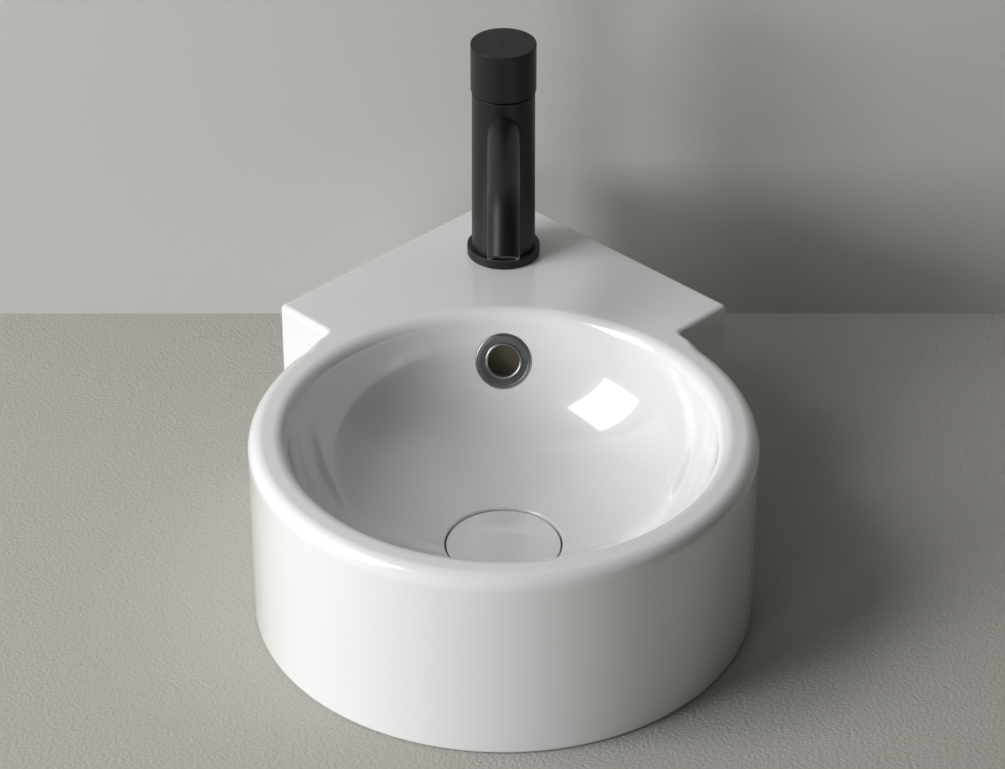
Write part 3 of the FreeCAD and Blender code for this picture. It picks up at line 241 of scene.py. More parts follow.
def cut(thing, cutters):
    """Cut these solids out of the thing and throw them away. A cut face has its cutter's slot."""
    for cutter in cutters:
        step = thing.modifiers.new(cutter.name, "BOOLEAN")
        step.operation, step.solver, step.object = "DIFFERENCE", "EXACT", cutter
    bpy.context.view_layer.update()
    evaluated = thing.evaluated_get(bpy.context.evaluated_depsgraph_get())
    solid = bpy.data.meshes.new_from_object(evaluated)
    thing.modifiers.clear()
    thing.data = solid
    for cutter in cutters:
        bpy.data.objects.remove(cutter)


def finish_piece(thing, node):
    """Smooth shading, then the thing stands for its CAD node and rides on that node's body."""
    thing.data.shade_smooth()
    thing.data.set_sharp_from_angle(angle=radians(SHARP_EDGE))
    normals = thing.modifiers.new("flat faces lead", "WEIGHTED_NORMAL")
    normals.keep_sharp = True
    normals.weight = FLAT_LEAD
    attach(thing, nodes[node]["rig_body"])
    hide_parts(node)
    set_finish(thing, slot_of[node])
    print("%-16s %6d faces" % (thing.name, len(thing.data.polygons)))


def drill(radius, start, end, at=(0, 0, 0), turn=Matrix.Identity(4), name="drill"):
    """A round solid along its own Z axis from start to end."""
    pen = Pen(0, start).to(radius, start).to(radius, end).to(0, end)
    return as_object(name, revolve(pen, DRILL_STEPS), turn, at)


print("slots:", sorted(set(slot_of.values())))

# %% [markdown]
# ## The ceramic body: plan and walls
#
# The casting is one closed surface. Seen from above it is a circle that runs into a square, with
# small arcs at the corners. Modelling it as a box and a tube joined together would leave a hard
# seam, but a fired casting has none: the rounding of the rim fades into the tighter rounding of the
# block. So the plan is drawn once, each of its vertices remembers how wide its own rounding is, and
# the wall is raised ring by ring from that plan.

# %% Plan of the casting
RIM = 150.0                  # outside of the bowl
APEX = 275.77                # bowl's axis to the corner of the room
WALL = APEX / sqrt(2)        # and to each of its walls
FRONT = 2.0                  # block's front faces, ahead of the bowl's axis
CORNER = 4.0                 # arc at each corner of the plan
JUNCTION = 4.0               # arc where the circle runs into the block
TOUCH = 0.01                 # places this close count as one
RIM_ROUND, BLOCK_ROUND, FOOT_ROUND = 9.0, 4.0, 2.5


def block(along, ahead):
    """A place on the right half of the block: along its front face, and ahead of the bowl's axis."""
    return (along + ahead) / sqrt(2), (along - ahead) / sqrt(2)


junction_centre = block(sqrt((RIM + JUNCTION) ** 2 - (FRONT + JUNCTION) ** 2), FRONT + JUNCTION)
junction_angle = degrees(atan2(junction_centre[1], junction_centre[0]))
apex = (WALL - CORNER) * sqrt(2)

casting = bmesh.new()
plan = Pen(0, -RIM, ACROSS, BACK, casting)
plan.turn(0, 0, 90 + junction_angle, 110)
plan.turn(*junction_centre, -45 - junction_angle, 10)
plan.to(*block(WALL - CORNER, FRONT))
plan.turn(*block(WALL - CORNER, FRONT - CORNER), 90, 10)
plan.to(CORNER / sqrt(2), apex + CORNER / sqrt(2))
plan.turn(0, apex, 45, 5)
bmesh.ops.mirror(casting, geom=casting.verts[:] + casting.edges[:], merge_dist=MERGE, axis="X")
bmesh.ops.remove_doubles(casting, verts=casting.verts, dist=MERGE)
print("plan:", len(casting.verts), "vertices, junction at", rounded(junction_centre, 1))

# %% [markdown]
# The rounding's width is stored on the vertices, as well as the way inwards. Extruding an edge copies
# what its vertices store, so every later ring knows both. The rim's nine millimetres fade to the
# block's four over the last stretch before the junction.

# %% Widths on the plan
FADE = 16.0                  # length of that stretch
HEART = point(0, 70, 0)      # a place inside the plan, which tells inwards from outwards
width = casting.verts.layers.float.new("round")
inward = casting.verts.layers.float_vector.new("inward")
foot = casting.verts.layers.float_vector.new("foot")
for vertex in casting.verts:
    sides = [(edge.other_vert(vertex).co - vertex.co).normalized() for edge in vertex.link_edges]
    tangent = (sides[0] - sides[1]).normalized()
    way = tangent.cross(UP)
    vertex[inward] = way if way.dot(HEART - vertex.co) > 0 else -way
    vertex[foot] = vertex.co
    from_junction = hypot(abs(vertex.co.x) / MM - junction_centre[0],
                          vertex.co.y / MM - junction_centre[1])
    on_bowl = abs(vertex.co.length / MM - RIM) < TOUCH
    share = min(max((from_junction - JUNCTION) / FADE, 0), 1) if on_bowl else 0
    vertex[width] = BLOCK_ROUND + (RIM_ROUND - BLOCK_ROUND) * share * share * (3 - 2 * share)
widths = [vertex[width] for vertex in casting.verts]
print("roundings from %.1f to %.1f mm wide" % (min(widths), max(widths)))

# %% Rings of the wall
FOOT_STEPS, TOP_STEPS = 6, 14
BAND = 1                     # flat strip beside each rounding, which keeps the wall's shading even


def set_ring(vertex, inset, height):
    """Put a vertex above its place on the plan; inset and height are told its own rounding."""
    radius = vertex[width]
    vertex.co = vertex[foot] + vertex[inward] * inset(radius) * MM + UP * height(radius) * MM


def ring_up(edges, inset, height):
    """Extrude a ring and put each vertex at its own inset and height."""
    made = bmesh.ops.extrude_edge_only(casting, edges=edges)["geom"]
    for vertex in (v for v in made if isinstance(v, bmesh.types.BMVert)):
        set_ring(vertex, inset, height)
    return [e for e in made if isinstance(e, bmesh.types.BMEdge)]


bottom = ring = casting.edges[:]
for vertex in casting.verts:
    set_ring(vertex, lambda r: FOOT_ROUND, lambda r: 0)
for k in range(1, FOOT_STEPS + 1):
    a = radians(90 * k / FOOT_STEPS)
    ring = ring_up(ring, lambda r: FOOT_ROUND * (1 - sin(a)), lambda r: FOOT_ROUND * (1 - cos(a)))
ring = ring_up(ring, lambda r: 0, lambda r: FOOT_ROUND + BAND)
ring = ring_up(ring, lambda r: 0, lambda r: DECK - r - BAND)
for k in range(TOP_STEPS + 1):
    a = radians(90 * k / TOP_STEPS)
    ring = ring_up(ring, lambda r: r * (1 - cos(a)), lambda r: DECK - r + r * sin(a))
print("wall:", len(casting.faces), "faces in", len(casting.faces) // len(bottom), "rings")

# %% [markdown]
# ## The bowl
#
# The bowl is a flat sphere's cap below and a much tighter curve at its sides, as the reflections in
# the picture tell: what mirrors the room ends well short of the rim, and above it the steep side
# mirrors the bowl itself. Both curves meet without a kink, and so does the rounded lip. A lathe is
# the natural tool: the half section is drawn and spun once round. The spin is fine, because a glossy
# glaze shows every facet. Then the flat of the deck is filled between the spun lip and the wall.

# %% Bowl section
RIM_WIDTH = 15.0             # outside of the bowl to the lip's crest
LIP = 9.0                    # radius of the rounded lip
BOWL_BOTTOM = 36.5           # where the sphere would end, on the axis
SIDE_LIFT = 2.0              # centre of the side curve, above the deck
SIDE_MARGIN = 14.5           # by how much its radius falls short of its height
RECESS, RECESS_FLOOR, RECESS_ROUND = 35.4, 27.5, 1.5
lip_reach, lip_height = RIM - RIM_WIDTH, DECK - LIP
side_height = DECK + SIDE_LIFT
side_rise = side_height - BOWL_BOTTOM
SIDE_CURVE = side_rise - SIDE_MARGIN
side_reach = lip_reach - sqrt((SIDE_CURVE + LIP) ** 2 - (side_height - lip_height) ** 2)
BOWL_CURVE = (side_reach ** 2 + side_rise ** 2 - SIDE_CURVE ** 2) / (2 * SIDE_MARGIN)
curve_centre = BOWL_BOTTOM + BOWL_CURVE
knee_angle = degrees(atan2(curve_centre - side_height, side_reach))


def below(outset, distance):
    """Height of the bowl's sphere, moved outwards, at a distance from the axis."""
    return curve_centre - sqrt((BOWL_CURVE + outset) ** 2 - distance ** 2)


def sphere_angle(outset, distance):
    """How far down from the horizontal that point lies, as seen from the sphere's centre."""
    return degrees(atan2(curve_centre - below(outset, distance), distance))


def side(outset, height):
    """Distance from the axis of the side curve, moved outwards, at a height."""
    return side_reach + sqrt((SIDE_CURVE + outset) ** 2 - (side_height - height) ** 2)


def side_angle(outset, height):
    """How far down from the horizontal that point lies, as seen from the side curve's centre."""
    return degrees(atan2(side_height - height, side(outset, height) - side_reach))


lip_angle = degrees(atan2(side_height - lip_height, lip_reach - side_reach))
LEDGE = 0.5                  # flat strip outside the lip, which the deck's fill meets
edge_reach = RECESS + RECESS_ROUND
edge_height = below(RECESS_ROUND, edge_reach)
edge_angle = sphere_angle(RECESS_ROUND, edge_reach)

section = Pen(lip_reach + LEDGE, DECK, mesh=casting).to(lip_reach, DECK)
section.turn(lip_reach, lip_height, 90 - lip_angle, 12)
section.turn(side_reach, side_height, lip_angle - knee_angle, 40)
section.turn(0, curve_centre, knee_angle - edge_angle, 36)
section.turn(edge_reach, edge_height, edge_angle, 6)
section.to(RECESS, RECESS_FLOOR).to(0, RECESS_FLOOR)
bmesh.ops.spin(casting, geom=section.chain + section.edges(), cent=(0, 0, 0), axis=UP,
               angle=radians(360), steps=240, use_merge=True)
bmesh.ops.remove_doubles(casting, verts=casting.verts, dist=MERGE)
open_edges = [e for e in casting.edges if e.is_boundary]
at_deck = [e for e in open_edges if min(v.co.z for v in e.verts) > (DECK - TOUCH) * MM]
at_floor = [e for e in open_edges if max(v.co.z for v in e.verts) < TOUCH * MM]
bmesh.ops.triangle_fill(casting, edges=at_deck, use_beauty=True, normal=UP)
bmesh.ops.contextual_create(casting, geom=at_floor)
tidy_mesh(casting)
print("casting:", len(casting.faces), "faces, open edges:", sum(e.is_boundary for e in casting.edges))

# %% [markdown]
# ## Hollow underside and holes
#
# A casting is never solid: slip sticks to the mould as a wall nine millimetres thick, and the inside
# stays open. Here the hollows are cut out of the closed body, which is simpler than modelling inner
# walls by hand and leaves the smooth upper side alone. The overflow duct is a curved channel behind
# the bowl, so its two solids are drawn from the side and given a width.

# %% Hollows
WALL_THICKNESS, DECK_THICKNESS, RIM_DEPTH = 9.0, 12.0, 19.0
BOSS, BOSS_BOTTOM = 42.9, 15.0
START = -5                   # cutters begin below the foot, so that they cut right through
cavity_top = DECK - RIM_DEPTH

under_bowl = Pen(0, START).to(RIM - WALL_THICKNESS, START).to(RIM - WALL_THICKNESS, cavity_top)
under_bowl.to(side(WALL_THICKNESS, cavity_top), cavity_top)
under_bowl.turn(side_reach, side_height, side_angle(WALL_THICKNESS, cavity_top) - knee_angle, 14)
under_bowl.turn(0, curve_centre, knee_angle - sphere_angle(WALL_THICKNESS, BOSS), 14)
under_bowl.to(BOSS, BOSS_BOTTOM).to(0, BOSS_BOTTOM)
bowl_hollow = as_object("bowl_hollow", revolve(under_bowl, 120))

inner = WALL - WALL_THICKNESS
inner_front = FRONT - WALL_THICKNESS
inner_start = block(sqrt(RIM ** 2 - inner_front ** 2), inner_front)
inner_angle = degrees(atan2(inner_start[1], inner_start[0]))
half = Pen(0, RIM, ACROSS, BACK).turn(0, 0, inner_angle - 90, 24)
half.to(*block(inner, inner_front)).to(0, inner * sqrt(2))
bmesh.ops.mirror(half.mesh, geom=half.mesh.verts[:] + half.mesh.edges[:], merge_dist=MERGE, axis="X")
bmesh.ops.remove_doubles(half.mesh, verts=half.mesh.verts, dist=MERGE)
half.chain = half.mesh.verts[:]
block_hollow = as_object("block_hollow", slab(half, 2 * (DECK - DECK_THICKNESS)))
print("side curve %.1f, sphere %.1f, cavity up to %.1f" % (SIDE_CURVE, BOWL_CURVE, cavity_top))

# %% [markdown]
# The duct's casing and passage share their shape: a floor by the waste, a ramp, then an arc that
# follows the bowl up to the overflow. One function draws it from the side for two widths. Where a
# solid only has to overlap the wall, it bites a few millimetres into it, because faces that fall
# together make a bad cut.

# %% Duct
RAMP_END = 66                # from the bowl's axis to where the ramp meets the arc


def duct(name, breadth, start, floor, ramp, outer, inner, top, inner_foot, roof):
    """A channel along the bowl, between two outsets, from a floor near the waste to a top."""
    pen = Pen(start, floor, BACK, UP).to(ramp, floor).to(RAMP_END, below(outer, RAMP_END))
    pen.turn(0, curve_centre, sphere_angle(outer, RAMP_END) - knee_angle, 10)
    pen.turn(side_reach, side_height, knee_angle - side_angle(outer, top), 12)
    pen.to(side(inner, top), top)
    pen.turn(side_reach, side_height, side_angle(inner, top) - knee_angle, 12)
    pen.turn(0, curve_centre, knee_angle - sphere_angle(inner, inner_foot), 10)
    pen.to(*roof)
    return as_object(name, slab(pen.close(), breadth))


DUCT_FLOOR, DUCT_MOUTH, DUCT_DEPTH, DUCT_WIDTH, CASING = 18.5, 5.5, 7.5, 24.0, 5.0
BITE = 3
passage_outset = WALL_THICKNESS + DUCT_DEPTH
casing = duct("casing", DUCT_WIDTH + 2 * CASING, start=32.5, floor=DUCT_FLOOR - CASING, ramp=43,
              outer=passage_outset + CASING, inner=WALL_THICKNESS - BITE, top=cavity_top - 2,
              inner_foot=BOSS - BITE, roof=(32.5, BOSS_BOTTOM + 2))
passage = duct("passage", DUCT_WIDTH, start=18.5, floor=DUCT_FLOOR, ramp=36,
               outer=passage_outset, inner=WALL_THICKNESS, top=cavity_top - 1,
               inner_foot=RAMP_END, roof=(42, DUCT_FLOOR + DUCT_MOUTH))
cut(bowl_hollow, [casing])
print("hollow of the bowl:", len(bowl_hollow.data.polygons), "faces")

# %% [markdown]
# The holes are plain drills. The overflow's drill is tilted to point at the centre of the bowl's
# side curve, and a wider, shallow one gives its ring a flat seat.

# %% Holes
WASTE_HOLE, TAP_HOLE, WALL_HOLE = 22.5, 17.5, 6
OVERFLOW_HOLE, OVERFLOW_SEAT = 12.0, 17.5
WALL_HOLE_REACH, WALL_HOLE_HEIGHT = 110, 90   # along the wall from the room's corner, and up
OVERFLOW_DROP = 30.6                          # from the deck down to the overflow
overflow_height = DECK - OVERFLOW_DROP
OVERFLOW = (0, side(0, overflow_height), overflow_height)
face_bowl = Matrix.Rotation(radians(90 - side_angle(0, overflow_height)), 4, "X")
holes = [
    bowl_hollow, block_hollow, passage,
    drill(WASTE_HOLE, 0, 40, name="waste_hole"),
    drill(OVERFLOW_SEAT, 0, 6, OVERFLOW, face_bowl, "overflow_seat"),
    drill(OVERFLOW_HOLE, -12, 3, OVERFLOW, face_bowl, "overflow_hole"),
    drill(TAP_HOLE, 60, 160, (0, TAP_Y - BOWL_Y, 0), name="tap_hole"),
]
across_wall = WALL_HOLE_REACH / sqrt(2)
for hand in (-1, 1):
    to_wall = Matrix.Rotation(radians(-45 * hand), 4, "Z") @ Matrix.Rotation(radians(-90), 4, "X")
    place = (hand * across_wall, APEX - across_wall, WALL_HOLE_HEIGHT)
    holes.append(drill(WALL_HOLE, -20, 20, place, to_wall, "wall_hole"))
print(len(holes), "cutters, overflow at", rounded(OVERFLOW, 1))

# %% [markdown]
# The body has three finishes: glaze where it is seen, raw clay where slip left the mould, and in the
# duct a brownish raw clay made darker to paint the shade inside it. A cut face keeps the slot of the
# solid that cut it, so each cutter is given one.

# %% Cut body
GLAZED, RAW, DUCT = SLOTS = range(3)
basin = as_object("basin", casting)
for solid in [basin] + holes:
    for _ in SLOTS:
        solid.data.materials.append(None)
    # the duct's faces take the brownish clay that is darkened as painted shade
    inside = DUCT if solid == passage else RAW if solid in (bowl_hollow, block_hollow) else GLAZED
    solid.data.polygons.foreach_set("material_index", [inside] * len(solid.data.polygons))
cut(basin, holes)
basin.data.transform(Matrix.Translation(point(0, BOWL_Y, 0)))
finish_piece(basin, "basin_body")

# %% [markdown]
# ## Overflow ring and waste cap
#
# Both are small turned pieces that catch the eye because they break the white bowl. The ring has a
# dished face between a bead outside and a thin bright lip inside. The cap is a ceramic disc with a
# soft edge and the slightest crown, so its reflections bend near the rim.

# %% Overflow ring
ring_section = Pen(10, -8).to(11.85, -8).to(11.85, 0).to(17.2, 0).to(17.2, 1.2)
ring_section.turn(16.4, 1.2, 90, 6).to(15.7, 1.95).to(15.2, 1.35).to(11.4, 1.0).to(11.1, 1.7)
ring_section.turn(10.6, 1.65, 80, 4).to(10, 1.6).close()
overflow_ring = as_object("overflow_trim", revolve(ring_section), face_bowl,
                          (0, OVERFLOW[1] + BOWL_Y, OVERFLOW[2]))
finish_piece(overflow_ring, "overflow_ring")

# %% Waste cap
CAP, CAP_BOTTOM, CAP_EDGE = 34.4, 35.0, 39.2
CAP_ROUND, CAP_CROWN, CAP_CHAMFER = 1.2, 1.2, 0.4
cap_flat = CAP - CAP_ROUND
crown = (cap_flat ** 2 + CAP_CROWN ** 2) / (2 * CAP_CROWN)
crown_angle = degrees(atan2(cap_flat, crown - CAP_CROWN))
cap_section = Pen(0, CAP_BOTTOM).to(CAP - CAP_CHAMFER, CAP_BOTTOM)
cap_section.to(CAP, CAP_BOTTOM + CAP_CHAMFER).to(CAP, CAP_EDGE - CAP_ROUND)
cap_section.turn(cap_flat, CAP_EDGE - CAP_ROUND, 90 - crown_angle, 8)
cap_section.to(cap_flat, CAP_EDGE).turn(0, CAP_EDGE + CAP_CROWN - crown, crown_angle, 16)
cap = as_object("cap", revolve(cap_section), at=(0, BOWL_Y, 0))
finish_piece(cap, "waste_cap")

# %% [markdown]
# ## The tap's pillar, base ring and knob
#
# These are lathe work too. What makes them read as machined metal is the edges: a real one is never a
# perfect right angle, so each visible edge gets a small rounding that catches the light, and a thin
# dark gap parts the knob from the pillar.

# %% Pillar
PILLAR_FOOT, PILLAR_TOP, EDGE = 20.05, 19.6, 0.5
BASE_TOP, PILLAR_END = 6.4, 115.8
SPIGOT, SPIGOT_END = 16.9, -5        # in the tap hole
NECK, NECK_END = 17, 127.0           # inside the knob
CHAMBER, CHAMBER_FLOOR = 13.1, 109   # for the cartridge
pillar_section = Pen(0, SPIGOT_END).to(SPIGOT - EDGE, SPIGOT_END).to(SPIGOT, SPIGOT_END + EDGE)
pillar_section.to(SPIGOT, BASE_TOP).to(PILLAR_FOOT, BASE_TOP)
pillar_section.to(PILLAR_TOP, PILLAR_END - EDGE).turn(PILLAR_TOP - EDGE, PILLAR_END - EDGE, 90, 5)
pillar_section.to(NECK, PILLAR_END).to(NECK, NECK_END).to(CHAMBER, NECK_END)
pillar_section.to(CHAMBER, CHAMBER_FLOOR).to(0, CHAMBER_FLOOR)
pillar = as_object("pillar", revolve(pillar_section), at=(0, TAP_Y, DECK))
INLET, STUD_HOLE, HOLE_START, HOLE_END = 4.5, 4.05, -6, 7
inlets = [drill(INLET, HOLE_START, HOLE_END, (hand * 7, TAP_Y + 4.5, DECK), name="inlet")
          for hand in (-1, 1)]
inlets.append(drill(STUD_HOLE, HOLE_START, HOLE_END, (0, TAP_Y - 9.5, DECK), name="stud_hole"))
cut(pillar, inlets)
finish_piece(pillar, "tap_body")

# %% Base ring
base_section = Pen(17, 0.3).to(22.8, 0.3).to(23, 0.5).to(23, BASE_TOP - 0.7)
base_section.turn(22.3, BASE_TOP - 0.7, 90, 6).to(17, BASE_TOP).close()
base_ring = as_object("base_ring", revolve(base_section), at=(0, TAP_Y, DECK))
finish_piece(base_ring, "tap_base_ring")

# %% Knob
KNOB, KNOB_BOTTOM, KNOB_TOP = 20.35, 116.9, 148.4
LOW_EDGE, TOP_EDGE = 0.4, 0.6
HOLLOW, CEILING = 18.6, 145          # room for the pillar's neck
HUB, SOCKET, HUB_BOTTOM = 12, 6.55, 135.5
knob_section = Pen(0, CEILING).to(SOCKET, CEILING).to(SOCKET, HUB_BOTTOM).to(HUB, HUB_BOTTOM)
knob_section.to(HUB, CEILING).to(HOLLOW, CEILING).to(HOLLOW, KNOB_BOTTOM)
knob_section.to(KNOB - LOW_EDGE, KNOB_BOTTOM).turn(KNOB - LOW_EDGE, KNOB_BOTTOM + LOW_EDGE, 90, 5)
knob_section.to(KNOB, KNOB_TOP - TOP_EDGE).turn(KNOB - TOP_EDGE, KNOB_TOP - TOP_EDGE, 90, 6)
knob_section.to(0, KNOB_TOP)
knob = as_object("knob", revolve(knob_section), at=(0, TAP_Y, DECK))

# %% [markdown]
# A fine groove runs from the middle of the knob's top to its front and shows how far it is turned.
# The hole for the grub screw's key is at the back.

# %% Index line and key hole
LINE, LINE_FLOOR, LINE_LENGTH = 0.45, KNOB_TOP - 0.3, 30
KEY_HOLE, KEY_HEIGHT = 2.05, 140.25
index = Pen(-LINE, LINE_FLOOR).to(LINE, LINE_FLOOR).to(LINE, KNOB_TOP + 2).to(-LINE, KNOB_TOP + 2).close()
index_line = as_object("index_line", slab(index, LINE_LENGTH), at=(0, TAP_Y - LINE_LENGTH / 2, DECK))
to_back = Matrix.Rotation(radians(-90), 4, "X")
key_hole = drill(KEY_HOLE, 5, 25, (0, TAP_Y, DECK + KEY_HEIGHT), to_back, "key_hole")
cut(knob, [index_line, key_hole])
finish_piece(knob, "control_knob")

# %% [markdown]
# ## The spout
#
# The spout is a round tube that leaves the pillar with a slight fall, runs straight, then bends down.
# A curve with a bevel would do, but a circle that is extruded and spun gives the same tube with clean
# rings, and its mouth can be stepped inwards like a real one, with room for the aerator.

# %% Spout
SPOUT, ROOT_SLOPE, TIP_SLOPE, BEND = 9.8, 12.0, 50.0, 38.0
RUN, END_RUN, ROOT_HEIGHT = 72.9, 19.9, 101.0
ROOT = 17.5                  # the tube begins inside the pillar's skin
MOUTH_ROUND = 0.6


def along(distance, slope):
    """A step along the spout: forward and down at that slope."""
    return Vector((0, -cos(radians(slope)), -sin(radians(slope)))) * distance


def stretch(mesh, ring, vec):
    """Extrude a ring of edges along a vector."""
    made = bmesh.ops.extrude_edge_only(mesh, edges=ring)["geom"]
    bmesh.ops.translate(mesh, verts=[v for v in made if isinstance(v, bmesh.types.BMVert)], vec=vec * MM)
    return [e for e in made if isinstance(e, bmesh.types.BMEdge)]


def shrink(mesh, ring, factor, centre, vec=Vector((0, 0, 0))):
    """Extrude a ring of edges inwards, towards its centre, and along a vector."""
    made = bmesh.ops.extrude_edge_only(mesh, edges=ring)["geom"]
    inner_ring = [v for v in made if isinstance(v, bmesh.types.BMVert)]
    bmesh.ops.scale(mesh, vec=(factor,) * 3, space=Matrix.Translation(-centre * MM), verts=inner_ring)
    bmesh.ops.translate(mesh, verts=inner_ring, vec=vec * MM)
    return [e for e in made if isinstance(e, bmesh.types.BMEdge)]


tube = bmesh.new()
root = Vector((0, 0, ROOT_HEIGHT)) + along(ROOT, ROOT_SLOPE)
aim = Matrix.Translation(root * MM) @ Matrix.Rotation(radians(90 + ROOT_SLOPE), 4, "X")
bmesh.ops.create_circle(tube, segments=72, radius=SPOUT * MM, matrix=aim)
tube_ring = stretch(tube, tube.edges[:], along(RUN - ROOT, ROOT_SLOPE))
bend_start = Vector((0, 0, ROOT_HEIGHT)) + along(RUN, ROOT_SLOPE)
bend_centre = bend_start + along(BEND, ROOT_SLOPE + 90)
ring_verts = list({v for e in tube_ring for v in e.verts})
bent = bmesh.ops.spin(tube, geom=ring_verts + tube_ring, cent=bend_centre * MM, axis=ACROSS,
                      angle=radians(TIP_SLOPE - ROOT_SLOPE), steps=24)["geom_last"]
tube_ring = [e for e in bent if isinstance(e, bmesh.types.BMEdge)]
tube_ring = stretch(tube, tube_ring, along(END_RUN - MOUTH_ROUND, TIP_SLOPE))
bend_end = bend_centre - along(BEND, TIP_SLOPE + 90)
tip = bend_end + along(END_RUN, TIP_SLOPE)
print("spout's tip is %.1f mm out and %.1f mm above the deck" % (-tip.y, tip.z))

# %% [markdown]
# The mouth is rounded outside, then flat, then it steps inwards to the throat where the aerator sits.

# %% Spout's mouth
MOUTH_STEPS = 5
MOUTH, THROAT = 8.25, 8.0            # radii inside the flat and behind its small chamfer
CHAMFER, THROAT_DEPTH = 0.25, 7.75
mouth = tip - along(MOUTH_ROUND, TIP_SLOPE)
for k in range(MOUTH_STEPS):
    start, end = (radians(90 * step / MOUTH_STEPS) for step in (k, k + 1))
    before, after = (SPOUT - MOUTH_ROUND * (1 - cos(a)) for a in (start, end))
    rise = along(MOUTH_ROUND * (sin(end) - sin(start)), TIP_SLOPE)
    tube_ring = shrink(tube, tube_ring, after / before, mouth, rise)
    mouth = mouth + rise
tube_ring = shrink(tube, tube_ring, MOUTH / (SPOUT - MOUTH_ROUND), mouth)
tube_ring = shrink(tube, tube_ring, THROAT / MOUTH, mouth, -along(CHAMFER, TIP_SLOPE))
stretch(tube, tube_ring, -along(THROAT_DEPTH, TIP_SLOPE))
bmesh.ops.holes_fill(tube, edges=[e for e in tube.edges if e.is_boundary], sides=0)
tidy_mesh(tube)
spout = as_object("spout_tube", tube, at=(0, TAP_Y, DECK))
finish_piece(spout, "spout")

# %% [markdown]
# ## Materials
#
# A finish is more than a colour. Each material below has its own small unevenness at the scale of the
# real one: the glaze has a faint waviness from the kiln, the black coat a fine grain, turned metal
# fine rings. The patterns read object coordinates, so they stay put when the tap turns. Numbers that
# are the same everywhere are set on the shader's own sockets.

# %% Material helpers
NOISE, WAVE, CELLS = "ShaderNodeTexNoise", "ShaderNodeTexWave", "ShaderNodeTexVoronoi"
NOISE_LOW, NOISE_HIGH = 0.3, 0.7     # nearly all of a noise lies between these
FACTOR, COLOUR_A, COLOUR_B, MIXED = 0, 6, 7, 2   # a Mix node's sockets for colours


def material(name, colour, roughness, metallic=0.0, **sockets):
    """A principled material; other sockets are given by name, with _ for a space."""
    made = bpy.data.materials.new(name)
    made.use_nodes = True
    shader = made.node_tree.nodes["Principled BSDF"]
    shader.inputs["Base Color"].default_value = (*colour, 1)
    shader.inputs["Roughness"].default_value = roughness
    shader.inputs["Metallic"].default_value = metallic
    for socket, value in sockets.items():
        shader.inputs[socket.replace("_", " ")].default_value = value
    return made


def pattern(made, kind, scale, stretch_by=(1, 1, 1), **sockets):
    """A texture node of that kind on object coordinates, and its output."""
    tree = made.node_tree
    place = tree.nodes.new("ShaderNodeTexCoord")
    mapping = tree.nodes.new("ShaderNodeMapping")
    mapping.inputs["Scale"].default_value = stretch_by
    texture = tree.nodes.new(kind)
    texture.inputs["Scale"].default_value = scale
    for socket, value in sockets.items():
        texture.inputs[socket.replace("_", " ")].default_value = value
    tree.links.new(place.outputs["Object"], mapping.inputs["Vector"])
    tree.links.new(mapping.outputs["Vector"], texture.inputs["Vector"])
    return texture.outputs[0]


def spread(made, source, low, high, socket):
    """Link a pattern to a number of the shader, between low and high."""
    tree = made.node_tree
    ramp = tree.nodes.new("ShaderNodeMapRange")
    ramp.inputs["From Min"].default_value = NOISE_LOW
    ramp.inputs["From Max"].default_value = NOISE_HIGH
    ramp.inputs["To Min"].default_value = low
    ramp.inputs["To Max"].default_value = high
    tree.links.new(source, ramp.inputs["Value"])
    tree.links.new(ramp.outputs["Result"], tree.nodes["Principled BSDF"].inputs[socket])


def tint(made, source, light, dark):
    """Link a pattern to the base colour, between two close colours."""
    tree = made.node_tree
    blend = tree.nodes.new("ShaderNodeMix")
    blend.data_type = "RGBA"
    blend.inputs[COLOUR_A].default_value = (*dark, 1)
    blend.inputs[COLOUR_B].default_value = (*light, 1)
    tree.links.new(source, blend.inputs[FACTOR])
    tree.links.new(blend.outputs[MIXED], tree.nodes["Principled BSDF"].inputs["Base Color"])


def relief(made, source, depth, strength, coat=False):
    """Link a pattern to the surface's bump, of that depth in millimetres."""
    tree = made.node_tree
    bump = tree.nodes.new("ShaderNodeBump")
    bump.inputs["Distance"].default_value = depth * MM
    bump.inputs["Strength"].default_value = strength
    tree.links.new(source, bump.inputs["Height"])
    tree.links.new(bump.outputs["Normal"], tree.nodes["Principled BSDF"].inputs["Normal"])
    if coat:
        tree.links.new(bump.outputs["Normal"], tree.nodes["Principled BSDF"].inputs["Coat Normal"])


# %% Glaze
glaze = material("white_glaze", (0.79, 0.80, 0.80), 0.22, Specular_IOR_Level=0.5, Coat_Weight=1.0,
                 Coat_Roughness=0.025, Coat_IOR=1.52)
tint(glaze, pattern(glaze, NOISE, 9, Detail=2.0), (0.80, 0.815, 0.815), (0.775, 0.79, 0.787))
relief(glaze, pattern(glaze, NOISE, 28, Detail=1.0), 0.05, 0.35, coat=True)

# %% Black coat
coat_black = material("matt_black_coat", (0.011, 0.011, 0.012), 0.40, Specular_IOR_Level=0.4)
tint(coat_black, pattern(coat_black, NOISE, 160, Detail=3.0),
     (0.013, 0.013, 0.014), (0.009, 0.009, 0.010))
spread(coat_black, pattern(coat_black, NOISE, 60, Detail=4.0), 0.36, 0.44, "Roughness")
relief(coat_black, pattern(coat_black, NOISE, 2600, Detail=2.0), 0.02, 0.5)

# %% Metals
trim = material("satin_chrome", (0.56, 0.57, 0.57), 0.36, 1.0)
spread(trim, pattern(trim, NOISE, 350, Detail=3.0), 0.32, 0.42, "Roughness")

chromed = material("polished_chrome", (0.70, 0.71, 0.72), 0.10, 1.0)
spread(chromed, pattern(chromed, NOISE, 240, Detail=2.0), 0.06, 0.16, "Roughness")

brass = material("machined_brass", (0.72, 0.53, 0.25), 0.28, 1.0)
tint(brass, pattern(brass, NOISE, 90, Detail=2.0), (0.76, 0.57, 0.28), (0.66, 0.48, 0.22))
relief(brass, pattern(brass, WAVE, 900, (0, 0, 1), Distortion=0.4), 0.02, 0.4)

